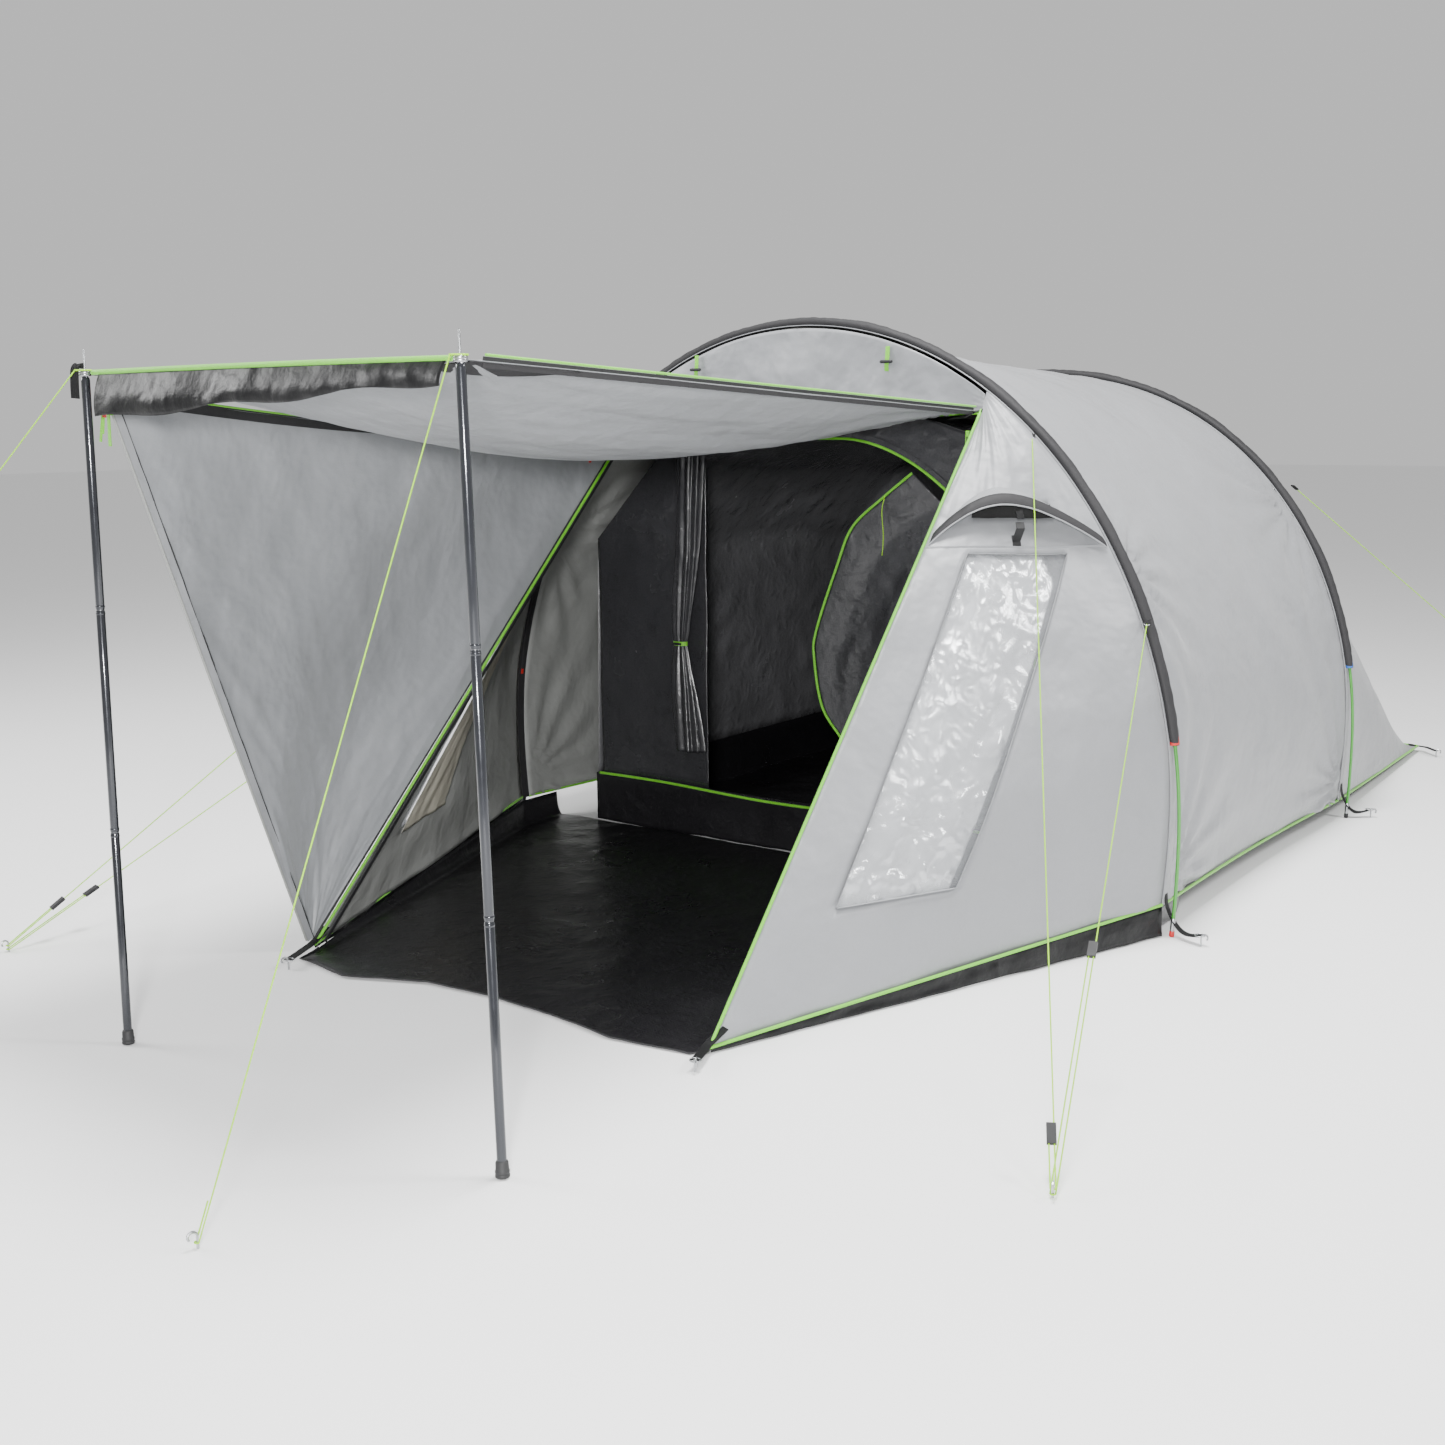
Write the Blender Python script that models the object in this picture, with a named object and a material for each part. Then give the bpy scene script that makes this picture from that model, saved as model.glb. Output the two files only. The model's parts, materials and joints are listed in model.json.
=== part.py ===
"""Two-hoop tunnel tent with a propped door canopy, a windbreak and an inner tent.

Metres. X is across the tent, Y runs from the entrance (-Y) to the rear (+Y) and Z is up.
The front hoop stands in the plane Y = 0 and the ground is Z = 0.
"""

import functools
import math

import bpy
import numpy as np

# ---- driving dimensions -------------------------------------------------------------------
FABRIC = 0.002            # thickness of every sewn sheet
GAP = 0.0005              # clearance between neighbouring pieces

FRONT_HALF_WIDTH = 1.178  # hoop poles, on the pole's axis
FRONT_HEIGHT = 1.640
REAR_HALF_WIDTH = 1.177
REAR_HEIGHT = 1.520
REAR_HOOP_Y = 1.606
POLE_RADIUS = 0.0048
SLEEVE_END_Z = 0.520      # below this the poles are bare
SLEEVE_HALF_WIDTH = 0.018
SLEEVE_HALF_DEPTH = 0.013

REAR_EDGE_Y = 2.930       # rear ground line of the flysheet
REAR_EDGE_HALF = 1.085
FRONT_CORNER = (0.645, -1.366, 0.014)   # ground end of each porch zip
ZIP_TOP = (0.594, -0.034, 1.385)        # upper end of each porch zip
CANOPY_FRONT_Z = 1.478
POLE_TOP = {"right": (0.600, -2.010), "left": (-0.540, -1.990)}
POLE_FOOT = {"right": (0.690, -2.070), "left": (-0.465, -2.060)}
AWNING_POLE_RADIUS = 0.0095

INNER_FRONT_Y = 0.150     # front wall of the inner tent
INNER_HALF_FLOOR = 0.950
INNER_SILL_Z = 0.170
INNER_REAR_Y = 2.640
INNER_HEIGHT = 1.400
INNER_SHOULDER_Z = 0.970

CORD_RADIUS = 0.0015
RUNNER_SIZE = (0.018, 0.008, 0.042)     # across, through, along the line
PEG_WIRE = 0.0025

# Where each guy line leaves the tent and where its peg stands.
PEG_AT = {
    "guy_right": (1.552, -1.567),
    "guy_left": (-1.305, -1.841),
    "pole_right": (0.450, -2.560),
    "pole_left": (-1.240, -2.9447),
    "rear_right": (1.830, 2.920),
    "rear_left": (-1.830, 2.920),
}
FRONT_GUY_LOW = (1.072, -0.004, 0.849)
FRONT_GUY_HIGH = (0.732, -0.008, 1.332)
REAR_GUY = (0.925, REAR_HOOP_Y + 0.004, 1.130)

# Ground pegs at the corners and the pole ends, right side; the left front one stands apart.
CORNER_PEGS = {
    "corner": (0.680, -1.466),
    "hoop_front": (1.262, -0.035),
    "hoop_rear": (1.240, 1.655),
    "rear": (1.178, 2.840),
}
LEFT_CORNER_PEG = (-0.575, -1.515)


# ---- materials ----------------------------------------------------------------------------
def material(name, colour, roughness, metallic=0.0, alpha=1.0):
    made = bpy.data.materials.new(name)
    made.use_nodes = True
    shader = made.node_tree.nodes["Principled BSDF"]
    shader.inputs["Base Color"].default_value = (*colour, 1.0)
    shader.inputs["Roughness"].default_value = roughness
    shader.inputs["Metallic"].default_value = metallic
    shader.inputs["Alpha"].default_value = alpha
    return made


def clear_scene():
    for item in list(bpy.data.objects):
        bpy.data.objects.remove(item)


# ---- mesh builders ------------------------------------------------------------------------
def add_mesh(name, points, faces, colour, origin=(0.0, 0.0, 0.0), smooth=True):
    """One closed body, its faces turned outwards, with its origin where it pivots."""
    points = np.asarray(points, float)
    volume = 0.0
    for face in faces:
        a = points[face[0]]
        for i in range(1, len(face) - 1):
            volume += float(np.dot(a, np.cross(points[face[i]], points[face[i + 1]])))
    if volume < 0:
        faces = [tuple(reversed(face)) for face in faces]
    mesh = bpy.data.meshes.new(name)
    mesh.from_pydata((points - np.array(origin)).tolist(), [], faces)
    mesh.update()
    if smooth:
        mesh.shade_smooth()
        mesh.set_sharp_from_angle(angle=math.radians(38))
    mesh.materials.append(colour)
    obj = bpy.data.objects.new(name, mesh)
    obj.location = origin
    bpy.context.scene.collection.objects.link(obj)
    return obj


def grid_normals(grid):
    du = np.gradient(grid, axis=0)
    dv = np.gradient(grid, axis=1)
    normal = np.cross(du, dv)
    return normal / np.maximum(np.linalg.norm(normal, axis=2, keepdims=True), 1e-12)


def shell(name, grid, colour, keep=None, thickness=FABRIC, **kw):
    """A sheet of the given thickness about a grid of points, without the cells keep drops."""
    grid = np.asarray(grid, float)
    rows, cols = grid.shape[:2]
    half = grid_normals(grid) * thickness / 2
    points = np.concatenate([(grid + half).reshape(-1, 3), (grid - half).reshape(-1, 3)])
    size = rows * cols
    faces = []
    edges = {}
    for i in range(rows - 1):
        for j in range(cols - 1):
            if keep is not None and not keep(i, j):
                continue
            cell = (i * cols + j, (i + 1) * cols + j, (i + 1) * cols + j + 1, i * cols + j + 1)
            for part in ((cell[0], cell[1], cell[2]), (cell[0], cell[2], cell[3])):
                faces.append(part)
                faces.append(tuple(size + k for k in reversed(part)))
            for k in range(4):
                pair = (cell[k], cell[(k + 1) % 4])
                if (pair[1], pair[0]) in edges:
                    del edges[(pair[1], pair[0])]
                else:
                    edges[pair] = True
    for a, b in edges:
        faces.append((b, a, size + a, size + b))
    used = sorted({k for face in faces for k in face})
    place = {k: n for n, k in enumerate(used)}
    faces = [tuple(place[k] for k in face) for face in faces]
    return add_mesh(name, points[used], faces, colour, **kw)


def frames_along(path, reference):
    """Unit tangent, side and up at each point, the side kept near the reference vector."""
    path = np.asarray(path, float)
    tangent = np.gradient(path, axis=0)
    tangent /= np.linalg.norm(tangent, axis=1, keepdims=True)
    reference = np.broadcast_to(np.asarray(reference, float), path.shape)
    side = reference - tangent * np.sum(reference * tangent, axis=1, keepdims=True)
    side /= np.linalg.norm(side, axis=1, keepdims=True)
    return tangent, side, np.cross(tangent, side)


def loop_points(centre, side, up, half_side, half_up, count):
    turn = np.linspace(0, 2 * math.pi, count, endpoint=False)
    return [centre + side * half_side * math.cos(a) + up * half_up * math.sin(a) for a in turn]


def rod(name, path, radii, colour, sides=8, reference=(0.0, 1.0, 0.0), flat=1.0, **kw):
    """A solid round or flattened rod along a path, closed at both ends."""
    path = np.asarray(path, float)
    radii = np.broadcast_to(np.asarray(radii, float), (len(path),))
    _, side, up = frames_along(path, reference)
    points = []
    for k, centre in enumerate(path):
        points += loop_points(centre, side[k], up[k], radii[k], radii[k] * flat, sides)
    faces = [tuple(range(sides)), tuple(range(len(points) - 1, len(points) - sides - 1, -1))]
    for k in range(len(path) - 1):
        for s in range(sides):
            n = (s + 1) % sides
            faces.append((k * sides + s, (k + 1) * sides + s, (k + 1) * sides + n, k * sides + n))
    return add_mesh(name, points, faces, colour, **kw)


def pipe(name, path, half_side, half_up, bore, colour, sides=10, reference=(0, 1, 0), **kw):
    """A flattened sleeve with a round bore right through it, along a path."""
    path = np.asarray(path, float)
    _, side, up = frames_along(path, reference)
    points = []
    for k, centre in enumerate(path):
        points += loop_points(centre, side[k], up[k], half_side, half_up, sides)
        points += loop_points(centre, side[k], up[k], bore, bore, sides)
    ring = 2 * sides
    faces = []
    for k in range(len(path) - 1):
        for s in range(sides):
            n = (s + 1) % sides
            a, b = k * ring, (k + 1) * ring
            faces.append((a + s, b + s, b + n, a + n))
            faces.append((a + sides + n, b + sides + n, b + sides + s, a + sides + s))
    last = (len(path) - 1) * ring
    for s in range(sides):
        n = (s + 1) % sides
        faces.append((s, n, sides + n, sides + s))
        faces.append((last + n, last + s, last + sides + s, last + sides + n))
    return add_mesh(name, points, faces, colour, **kw)


def cord(name, points, colour):
    """A guy line: one open curve of round section with closed ends."""
    curve = bpy.data.curves.new(name, "CURVE")
    curve.dimensions = "3D"
    curve.bevel_depth = CORD_RADIUS
    curve.bevel_resolution = 2
    curve.use_fill_caps = True
    line = curve.splines.new("POLY")
    line.points.add(len(points) - 1)
    for k, point in enumerate(points):
        line.points[k].co = (*point, 1.0)
    curve.materials.append(colour)
    obj = bpy.data.objects.new(name, curve)
    bpy.context.scene.collection.objects.link(obj)
    return obj


def mirrored(grid):
    return np.asarray(grid, float) * np.array([-1.0, 1.0, 1.0])


# ---- the hoops ----------------------------------------------------------------------------
HOOPS = {
    "front": (FRONT_HALF_WIDTH, FRONT_HEIGHT, 2.02, 0.254, 0.143, 0.0),
    "rear": (REAR_HALF_WIDTH, REAR_HEIGHT, 2.13, 0.232, 0.108, REAR_HOOP_Y),
}
STRAIGHT = 0.15   # share of a half hoop that is the nearly upright leg


def hoop_point(hoop, share, inset=0.0):
    """A point of the hoop: share 0 is the right foot, 1 the top and 2 the left foot."""
    half, height, power, knee, bow, y = HOOPS[hoop]
    side = 1.0 if share <= 1 else -1.0
    share = share if share <= 1 else 2 - share
    if share < STRAIGHT:
        z = knee * share / STRAIGHT
        x = half - bow * (knee - z) ** 2
    else:
        turn = (share - STRAIGHT) / (1 - STRAIGHT) * math.pi / 2
        x = half * math.cos(turn) ** (2 / power)
        z = knee + (height - knee) * math.sin(turn) ** (2 / power)
    low = max(0.0, 1 - z / SLEEVE_END_Z)
    x -= (inset + 0.022 * low * (inset > 0)) * x / half
    z -= inset * z / height
    return np.array([side * x, y, z])


def share_at(hoop, wanted, axis, inset=0.0):
    """The share of the right half of a hoop where x or z has a wanted value."""
    low, high = 0.0, 1.0
    for _ in range(60):
        middle = (low + high) / 2
        value = hoop_point(hoop, middle, inset)[axis]
        if (value < wanted) == (axis == 2):
            low = middle
        else:
            high = middle
    return (low + high) / 2


def build_hoops(m):
    for hoop in HOOPS:
        end = share_at(hoop, SLEEVE_END_Z, 2)
        covered = np.linspace(end, 2 - end, 27)
        shares = np.concatenate([[0, 0.07, STRAIGHT], covered, [2 - STRAIGHT, 1.93, 2]])
        path = [hoop_point(hoop, s) for s in shares]
        path[0] = path[0] + np.array([0, 0, 0.001])
        path[-1] = path[-1] + np.array([0, 0, 0.001])
        rod(hoop + "_hoop_pole", path, POLE_RADIUS, m["fibreglass"], sides=6)
        path = [hoop_point(hoop, s) for s in covered]
        pipe(hoop + "_hoop_sleeve", path, SLEEVE_HALF_WIDTH, SLEEVE_HALF_DEPTH,
             POLE_RADIUS + 0.0012, m["charcoal"], sides=8)


# ---- the flysheet -------------------------------------------------------------------------
INSET = 0.011             # the sheet runs just inside the poles


def fly_arc(hoop, y, low_z, shares=None, count=25):
    start = share_at(hoop, low_z, 2, INSET)
    if shares is None:
        shares = np.linspace(start, 2 - start, count)
    arc = np.array([hoop_point(hoop, s, INSET) for s in shares])
    arc[:, 1] = y
    return arc


def build_fly(m):
    front = fly_arc("front", SLEEVE_HALF_WIDTH + GAP, 0.088)
    rear = fly_arc("rear", REAR_HOOP_Y - SLEEVE_HALF_WIDTH - GAP, 0.060)
    rows = []
    for u in np.linspace(0, 1, 7):
        row = front + (rear - front) * u
        waist = 1 - 0.014 * math.sin(math.pi * u)
        row = row * np.array([waist, 1, waist])
        rows.append(row)
    shell("fly_tunnel", rows, m["fly"])

    arc = fly_arc("rear", REAR_HOOP_Y + SLEEVE_HALF_WIDTH + GAP, 0.060, count=29)
    edge = []
    for k in range(29):
        along = abs(k - 14) / 14
        if along > 0.5:
            across = REAR_EDGE_HALF - 0.10 * (1 - along) / 0.5
        else:
            across = (REAR_EDGE_HALF - 0.10) * along / 0.5
        side = 1.0 if k <= 14 else -1.0
        edge.append((side * across, REAR_EDGE_Y + 0.03 * (1 - along), 0.022))
    edge = np.array(edge)
    rows = []
    for u in np.linspace(0, 1, 8):
        row = arc + (edge - arc) * u
        row[:, 2] -= 0.030 * math.sin(math.pi * u) * np.clip(row[:, 2], 0, 1)
        rows.append(row)
    shell("fly_rear", rows, m["fly"])

    span = np.linspace(0.590, -0.590, 13)
    rows = []
    for level in (0, 0.5, 1):
        row = []
        for x in span:
            share = share_at("front", abs(x), 0, 0.022)
            top = hoop_point("front", share, 0.022)[2]
            row.append((x, -0.0215, 1.392 + (top - 1.392) * level))
        rows.append(row)
    shell("porch_gable", rows, m["fly"])


def zip_point(share):
    """A point on the right porch zip, from its ground end to its upper end."""
    low = np.array(FRONT_CORNER)
    return low + (np.array(ZIP_TOP) - low) * share


WALL_TOP_SHARE = share_at("front", 0.603, 0, INSET)
WALL_LOW_SHARE = share_at("front", 0.088, 2, INSET)


def wall_point(u, v, out=0.0):
    """A point on the right porch wall: u from the zip to the hoop, v from the ground up."""
    def raw(a, b):
        arc = hoop_point("front", WALL_LOW_SHARE + (WALL_TOP_SHARE - WALL_LOW_SHARE) * b, INSET)
        arc[1] = -SLEEVE_HALF_WIDTH - GAP
        edge = zip_point(b)
        belly = 0.012 * math.sin(math.pi * a) * math.sin(math.pi * min(max(b, 0), 1))
        return edge + (arc - edge) * a + belly * np.array([0.75, -0.6, 0.25])
    point = raw(u, v)
    if out:
        step = 1e-3
        along = raw(u + step, v) - raw(u - step, v)
        rise = raw(u, v + step) - raw(u, v - step)
        normal = np.cross(along, rise)
        point = point + normal / np.linalg.norm(normal) * out
    return point


WINDOW_Z = (0.245, 1.018)           # sill and head of the side window
VENT_Z = (1.108, 1.140)             # the mesh slot above it
WINDOW_LOW_U = (0.158, 0.440)
WINDOW_HIGH_U = (0.290, 0.800)
ROW_Z = [None, 0.130, 0.245, 0.40, 0.60, 0.81, 1.018, 1.108, 1.140, 1.20, 1.29, None]
COLUMNS = (0, 0.5, 1, 2, 3, 4, 5, 6)
HOOD_U = (0.080, 0.965)
HOOD_BASE_Z = 1.045


def wall_at_height(u, z, out=0.0):
    """The porch wall at a height above the ground."""
    low, high = 0.0, 1.0
    for _ in range(50):
        middle = (low + high) / 2
        if wall_point(u, middle)[2] < z:
            low = middle
        else:
            high = middle
    return wall_point(u, (low + high) / 2, out)


@functools.lru_cache(maxsize=None)
def jamb_u(edge, t):
    """Where a window jamb, straight from sill to head seen from the side, crosses a level."""
    low = wall_at_height(WINDOW_LOW_U[edge], WINDOW_Z[0])
    high = wall_at_height(WINDOW_HIGH_U[edge], WINDOW_Z[1])
    y = low[1] + (high[1] - low[1]) * t
    z = WINDOW_Z[0] + (WINDOW_Z[1] - WINDOW_Z[0]) * t
    left, right = 0.0, 1.0
    for _ in range(30):
        middle = (left + right) / 2
        if wall_at_height(middle, z)[1] < y:
            left = middle
        else:
            right = middle
    return (left + right) / 2


def slanted_u(column, z):
    """Column lines that follow the slanting sides of the window: 1 and 4 are its jambs."""
    t = min(max((z - WINDOW_Z[0]) / (WINDOW_Z[1] - WINDOW_Z[0]), 0), 1)
    left, right = jamb_u(0, t), jamb_u(1, t)
    if column <= 1:
        return left * column
    if column <= 4:
        return left + (right - left) * (column - 1) / 3
    return right + (1 - right) * (column - 4) / 2


def window_grid(margin, out):
    """A sheet that fills the window opening grown by a margin, moved out along its normal."""
    rows = []
    for z in (WINDOW_Z[0] - margin, 0.40, 0.60, 0.81, WINDOW_Z[1] + margin):
        row = []
        for c in (1 - 4 * margin, 2, 3, 4 + 4 * margin):
            row.append(wall_at_height(slanted_u(c, z), z, out))
        rows.append(row)
    return rows


def hood_grid():
    """The vent hood: its rim stands off the wall and its back edge lies against the wall."""
    rows = []
    for level in (0.0, 0.5, 1.0):
        row = []
        for s in np.linspace(0, 1, 13):
            arch = math.sin(math.pi * s) ** 0.8 if 0 < s < 1 else 0.0
            u = HOOD_U[0] + (HOOD_U[1] - HOOD_U[0]) * s
            z = HOOD_BASE_Z + 0.078 * arch + level * (0.010 + 0.030 * arch)
            out = 0.005 + 0.060 * arch * (1 - level) ** 1.3
            row.append(wall_at_height(u, z, out))
        rows.append(row)
    return rows


STRUT_U, STRUT_V = 0.560, 0.700


def strut_parts():
    """The vent prop: a plate on the wall, a leg standing out from it and a plate at its head."""
    foot = wall_point(STRUT_U, STRUT_V, 0.0)
    out = wall_point(STRUT_U, STRUT_V, 0.1) - foot
    out /= np.linalg.norm(out)
    rise = wall_point(STRUT_U, STRUT_V + 0.01) - foot
    rise -= out * np.dot(rise, out)
    rise /= np.linalg.norm(rise)
    along = np.cross(rise, out)
    return foot, out, rise, along


def build_walls(m):
    for side in ("right", "left"):
        turn = (lambda g: g) if side == "right" else mirrored
        rows = []
        for z in ROW_Z:
            if z is None:
                edge = 1 if rows else 0
                level = WINDOW_Z[edge]
                rows.append([wall_point(slanted_u(c, level), edge) for c in COLUMNS])
            else:
                rows.append([wall_at_height(slanted_u(c, z), z) for c in COLUMNS])

        def keep(i, j):
            window = 2 <= i < 6 and 2 <= j < 5
            vent = i == 7 and 2 <= j < 5
            return not (window or vent)

        shell("porch_wall_" + side, turn(rows), m["fly"], keep=keep)
        shell("window_" + side, turn(window_grid(-0.004, 0.0)), m["clear"], thickness=0.001)
        shell("curtain_" + side, turn(window_grid(0.012, -0.012)), m["silver"],
              keep=lambda i, j: not (i == 3 and j == 2))
        shell("vent_hood_" + side, turn(hood_grid()), m["charcoal"])

        foot, out, rise, along = strut_parts()
        profile = [(0.0016, 0.014), (0.0016, -0.016), (0.0034, -0.016), (0.0034, -0.002),
                   (0.046, 0.012), (0.046, 0.030), (0.0442, 0.030), (0.0442, 0.0135),
                   (0.0034, 0.0012), (0.0034, 0.014)]
        points = []
        for half in (-0.011, 0.011):
            points += [foot + out * a + rise * b + along * half for a, b in profile]
        count = len(profile)
        faces = [tuple(range(count)), tuple(range(2 * count - 1, count - 1, -1))]
        for k in range(count):
            n = (k + 1) % count
            faces.append((k, k + count, n + count, n))
        # It is sewn in at its head and swings there once its foot is pulled off the wall.
        pivot = foot + out * 0.045 + rise * 0.030
        pivot = pivot if side == "right" else pivot * np.array([-1, 1, 1])
        add_mesh("vent_strut_" + side, turn(points), faces, m["black_plastic"],
                 origin=tuple(pivot), smooth=False)


# ---- the canopy and the windbreak ---------------------------------------------------------
def canopy_point(across, along):
    """The propped door panel: across from -1 (left) to 1 (right), along from hoop to poles."""
    rear = np.array([(ZIP_TOP[0] - 0.003) * across, ZIP_TOP[1] + 0.004, ZIP_TOP[2] - 0.003])
    left = np.array([*POLE_TOP["left"], CANOPY_FRONT_Z])
    right = np.array([*POLE_TOP["right"], CANOPY_FRONT_Z])
    front = left + (right - left) * (across + 1) / 2
    front[1] += 0.012 * (1 - across ** 2)
    point = rear + (front - rear) * along
    belly = 0.155 * math.sin(math.pi * min(max(along, 0), 1)) ** 0.55
    point[2] -= belly * (1 - across ** 2)
    point[2] += 0.016 * (1 - across ** 2) * along ** 6
    return point


EYELET = 0.0075           # radius of the eyelet that each pole's spike goes through


def eyelet_ring(top, z, thickness, bore, outer, sides=10):
    points = []
    for height in (z, z + thickness):
        for radius in (bore, outer):
            for k in range(sides):
                turn = 2 * math.pi * k / sides
                points.append((top[0] + radius * math.cos(turn),
                               top[1] + radius * math.sin(turn), height))
    faces = []
    for k in range(sides):
        n = (k + 1) % sides
        faces.append((k, n, sides + n, sides + k))
        faces.append((2 * sides + k, 3 * sides + k, 3 * sides + n, 2 * sides + n))
        faces.append((k, 2 * sides + k, 2 * sides + n, n))
        faces.append((sides + k, sides + n, 3 * sides + n, 3 * sides + k))
    return points, faces


def build_canopy(m):
    # The panel stops just behind the pole tops, and its webbing corners hold the eyelets.
    stop = 0.9955
    rows = [[canopy_point(a, s) for a in np.linspace(-1, 1, 13)]
            for s in stop * np.array([0, .06, .14, .25, .38, .5, .62, .74, .86, .95, 1])]
    panel = shell("canopy", rows, m["fly_inside"])
    for side in ("right", "left"):
        points, faces = eyelet_ring(POLE_TOP[side], CANOPY_FRONT_Z - 0.0015, 0.003,
                                    EYELET, 0.016)
        ring = add_mesh("eyelet_" + side, points, faces, m["fly_inside"])
        ring.hide_render = True
        ring.display_type = "WIRE"
        joined = panel.modifiers.new("eyelet_" + side, "BOOLEAN")
        joined.operation = "UNION"
        joined.solver = "EXACT"
        joined.object = ring

    rows = []
    for level in (0, 0.5, 1):
        row = []
        for a in np.linspace(-0.925, 0.930, 13):
            top = canopy_point(a, 0.9955)
            drop = 0.100 - 0.030 * (a + 1)
            row.append(top + np.array([0, -0.004 - 0.020 * math.sin(math.pi * level * 0.6),
                                       0.002 - drop * level]))
        rows.append(row)
    shell("canopy_skirt", rows, m["black_coated"])


def windbreak_point(u, v):
    """The side sheet: u from the pole top to the hoop, v down to the front ground corner."""
    pole = np.array([POLE_TOP["left"][0] - 0.010, POLE_TOP["left"][1] + 0.055, 1.440])
    hoop = mirrored(zip_point(0.985)) + np.array([-0.006, -0.014, -0.006])
    corner = mirrored(zip_point(0.012)) + np.array([-0.006, -0.014, 0.0])
    top = pole + (hoop - pole) * u
    top[2] -= 0.045 * math.sin(math.pi * u)
    low = corner + np.array([0.0, -0.022, 0.0]) * (1 - u)
    point = top + (low - top) * v
    slack = math.sin(math.pi * u) * math.sin(math.pi * min(v, 1.0) ** 0.8)
    point[0] -= 0.060 * slack
    return point


def build_windbreak(m):
    rows = [[windbreak_point(u, v) for u in np.linspace(0, 1, 9)]
            for v in np.linspace(0, 1, 11)]
    shell("windbreak", rows, m["fly"])


# ---- awning poles -------------------------------------------------------------------------
def build_awning_poles(m):
    for side in ("right", "left"):
        foot = np.array([*POLE_FOOT[side], 0.0])
        # The pivot is the centre of the rounded head, under the canopy's corner.
        head = np.array([*POLE_TOP[side], CANOPY_FRONT_Z - AWNING_POLE_RADIUS - 0.004])
        axis = head - foot
        length = float(np.linalg.norm(axis))
        axis = axis / length
        pivot = tuple(head)
        r = AWNING_POLE_RADIUS

        def along(values):
            return [foot + axis * v for v in values]

        cuts = [0.0, length * 0.335, length * 0.670, length]
        # Foot end: a cap with a flat sole, square to the ground.
        sole = [(0.0, r * 1.35), (0.004, r * 1.5), (0.030, r * 1.4), (0.034, r)]
        lower = [z for z, _ in sole] + [cuts[1] - 0.010, cuts[1] - 0.0095]
        radii = [w for _, w in sole] + [r, r * 0.92]
        path = along(lower)
        path[0] = foot + np.array([0, 0, 0.0014])
        rod("awning_pole_" + side + "_bottom", path, radii, m["pole"], sides=12,
            origin=pivot)
        rod("awning_pole_" + side + "_middle",
            along([cuts[1] - 0.009, cuts[1] - 0.0085, cuts[2] - 0.010, cuts[2] - 0.0095]),
            [r * 0.92, r, r, r * 0.92], m["pole"], sides=12, origin=pivot)
        top = [cuts[2] - 0.009, cuts[2] - 0.0085, length, length + r * 0.5,
               length + r * 0.8, length + r * 0.97, length + r + 0.012, length + r + 0.048,
               length + r + 0.056]
        radii = [r * 0.92, r, r, r * 0.866, r * 0.6, 0.0022, 0.0022, 0.0020, 0.0006]
        rod("awning_pole_" + side + "_top", along(top), radii, m["pole"], sides=12,
            origin=pivot)


# ---- groundsheet and inner tent -----------------------------------------------------------
def tub_edge(share, inward=0.0):
    """The line on the ground under the right porch wall, from the front corner to the hoop."""
    start = np.array([FRONT_CORNER[0] - 0.010, FRONT_CORNER[1], 0.0])
    end = np.array([hoop_point("front", WALL_LOW_SHARE, INSET)[0] - 0.012, -0.030, 0.0])
    point = start + (end - start) * share
    point[0] -= inward
    return point


def build_groundsheet(m):
    # Across the sheet: up the left wall, over the floor and up the right wall.
    rows = []
    # Behind the hoop the sheet runs on, straight, to the sill of the inner tent.
    stations = [(share, 0.0) for share in np.linspace(0, 1, 9)] + [(1.0, 0.085), (1.0, 0.174)]
    for share, behind in stations:
        edge = tub_edge(share) + np.array([0.0, behind, 0.0])
        rise = 0.006 + 0.074 * share
        columns = [(-1, edge[0], rise), (-1, edge[0] - 0.004, rise * 0.45),
                   (-1, edge[0] - 0.022, 0.0012)]
        columns += [(0, (edge[0] - 0.022) * k, 0.0012) for k in (-0.66, -0.33, 0, 0.33, 0.66)]
        columns += [(1, edge[0] - 0.022, 0.0012), (1, edge[0] - 0.004, rise * 0.45),
                    (1, edge[0], rise)]
        # The front edge runs a little past the doorway, most at the left corner.
        spill = [0, 0.012, 0.080, 0.118, 0.030, 0.012, 0.024, 0.060, 0.030, 0.006, 0]
        row = []
        for (side, x, z), more in zip(columns, spill):
            more = more if share == 0 else 0.0
            row.append((x if side == 0 else side * x, edge[1] - more, z))
        rows.append(row)
    shell("groundsheet", rows, m["groundsheet"])


def inner_section(share, floor_half, shoulder_half, shoulder_z, top_z, base_z, y):
    """A cross-section of the inner tent: share 0 and 1 are its floor edges."""
    corners = np.array([(floor_half, base_z), (shoulder_half, shoulder_z),
                        (shoulder_half * 0.70, shoulder_z + (top_z - shoulder_z) * 0.68),
                        (shoulder_half * 0.33, top_z - (top_z - shoulder_z) * 0.07),
                        (0.0, top_z)])
    stops = np.array([0.0, 0.40, 0.66, 0.86, 1.0])
    half = 1 - abs(2 * share - 1)
    x = float(np.interp(half, stops, corners[:, 0]))
    z = float(np.interp(half, stops, corners[:, 1]))
    return np.array([x if share <= 0.5 else -x, y, z])


INNER_STATIONS = [
    # y, half width at the floor, at the shoulder, shoulder height, top height
    (INNER_FRONT_Y + 0.004, 0.945, 0.925, INNER_SHOULDER_Z, INNER_HEIGHT),
    (0.700, 0.945, 0.915, 0.940, 1.390),
    (1.300, 0.945, 0.905, 0.910, 1.370),
    (1.640, 0.945, 0.895, 0.870, 1.330),
    (2.100, 0.945, 0.890, 0.480, 0.800),
    (2.400, 0.940, 0.890, 0.280, 0.440),
    (INNER_REAR_Y - 0.004, 0.935, 0.900, 0.182, 0.196),
]

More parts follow.
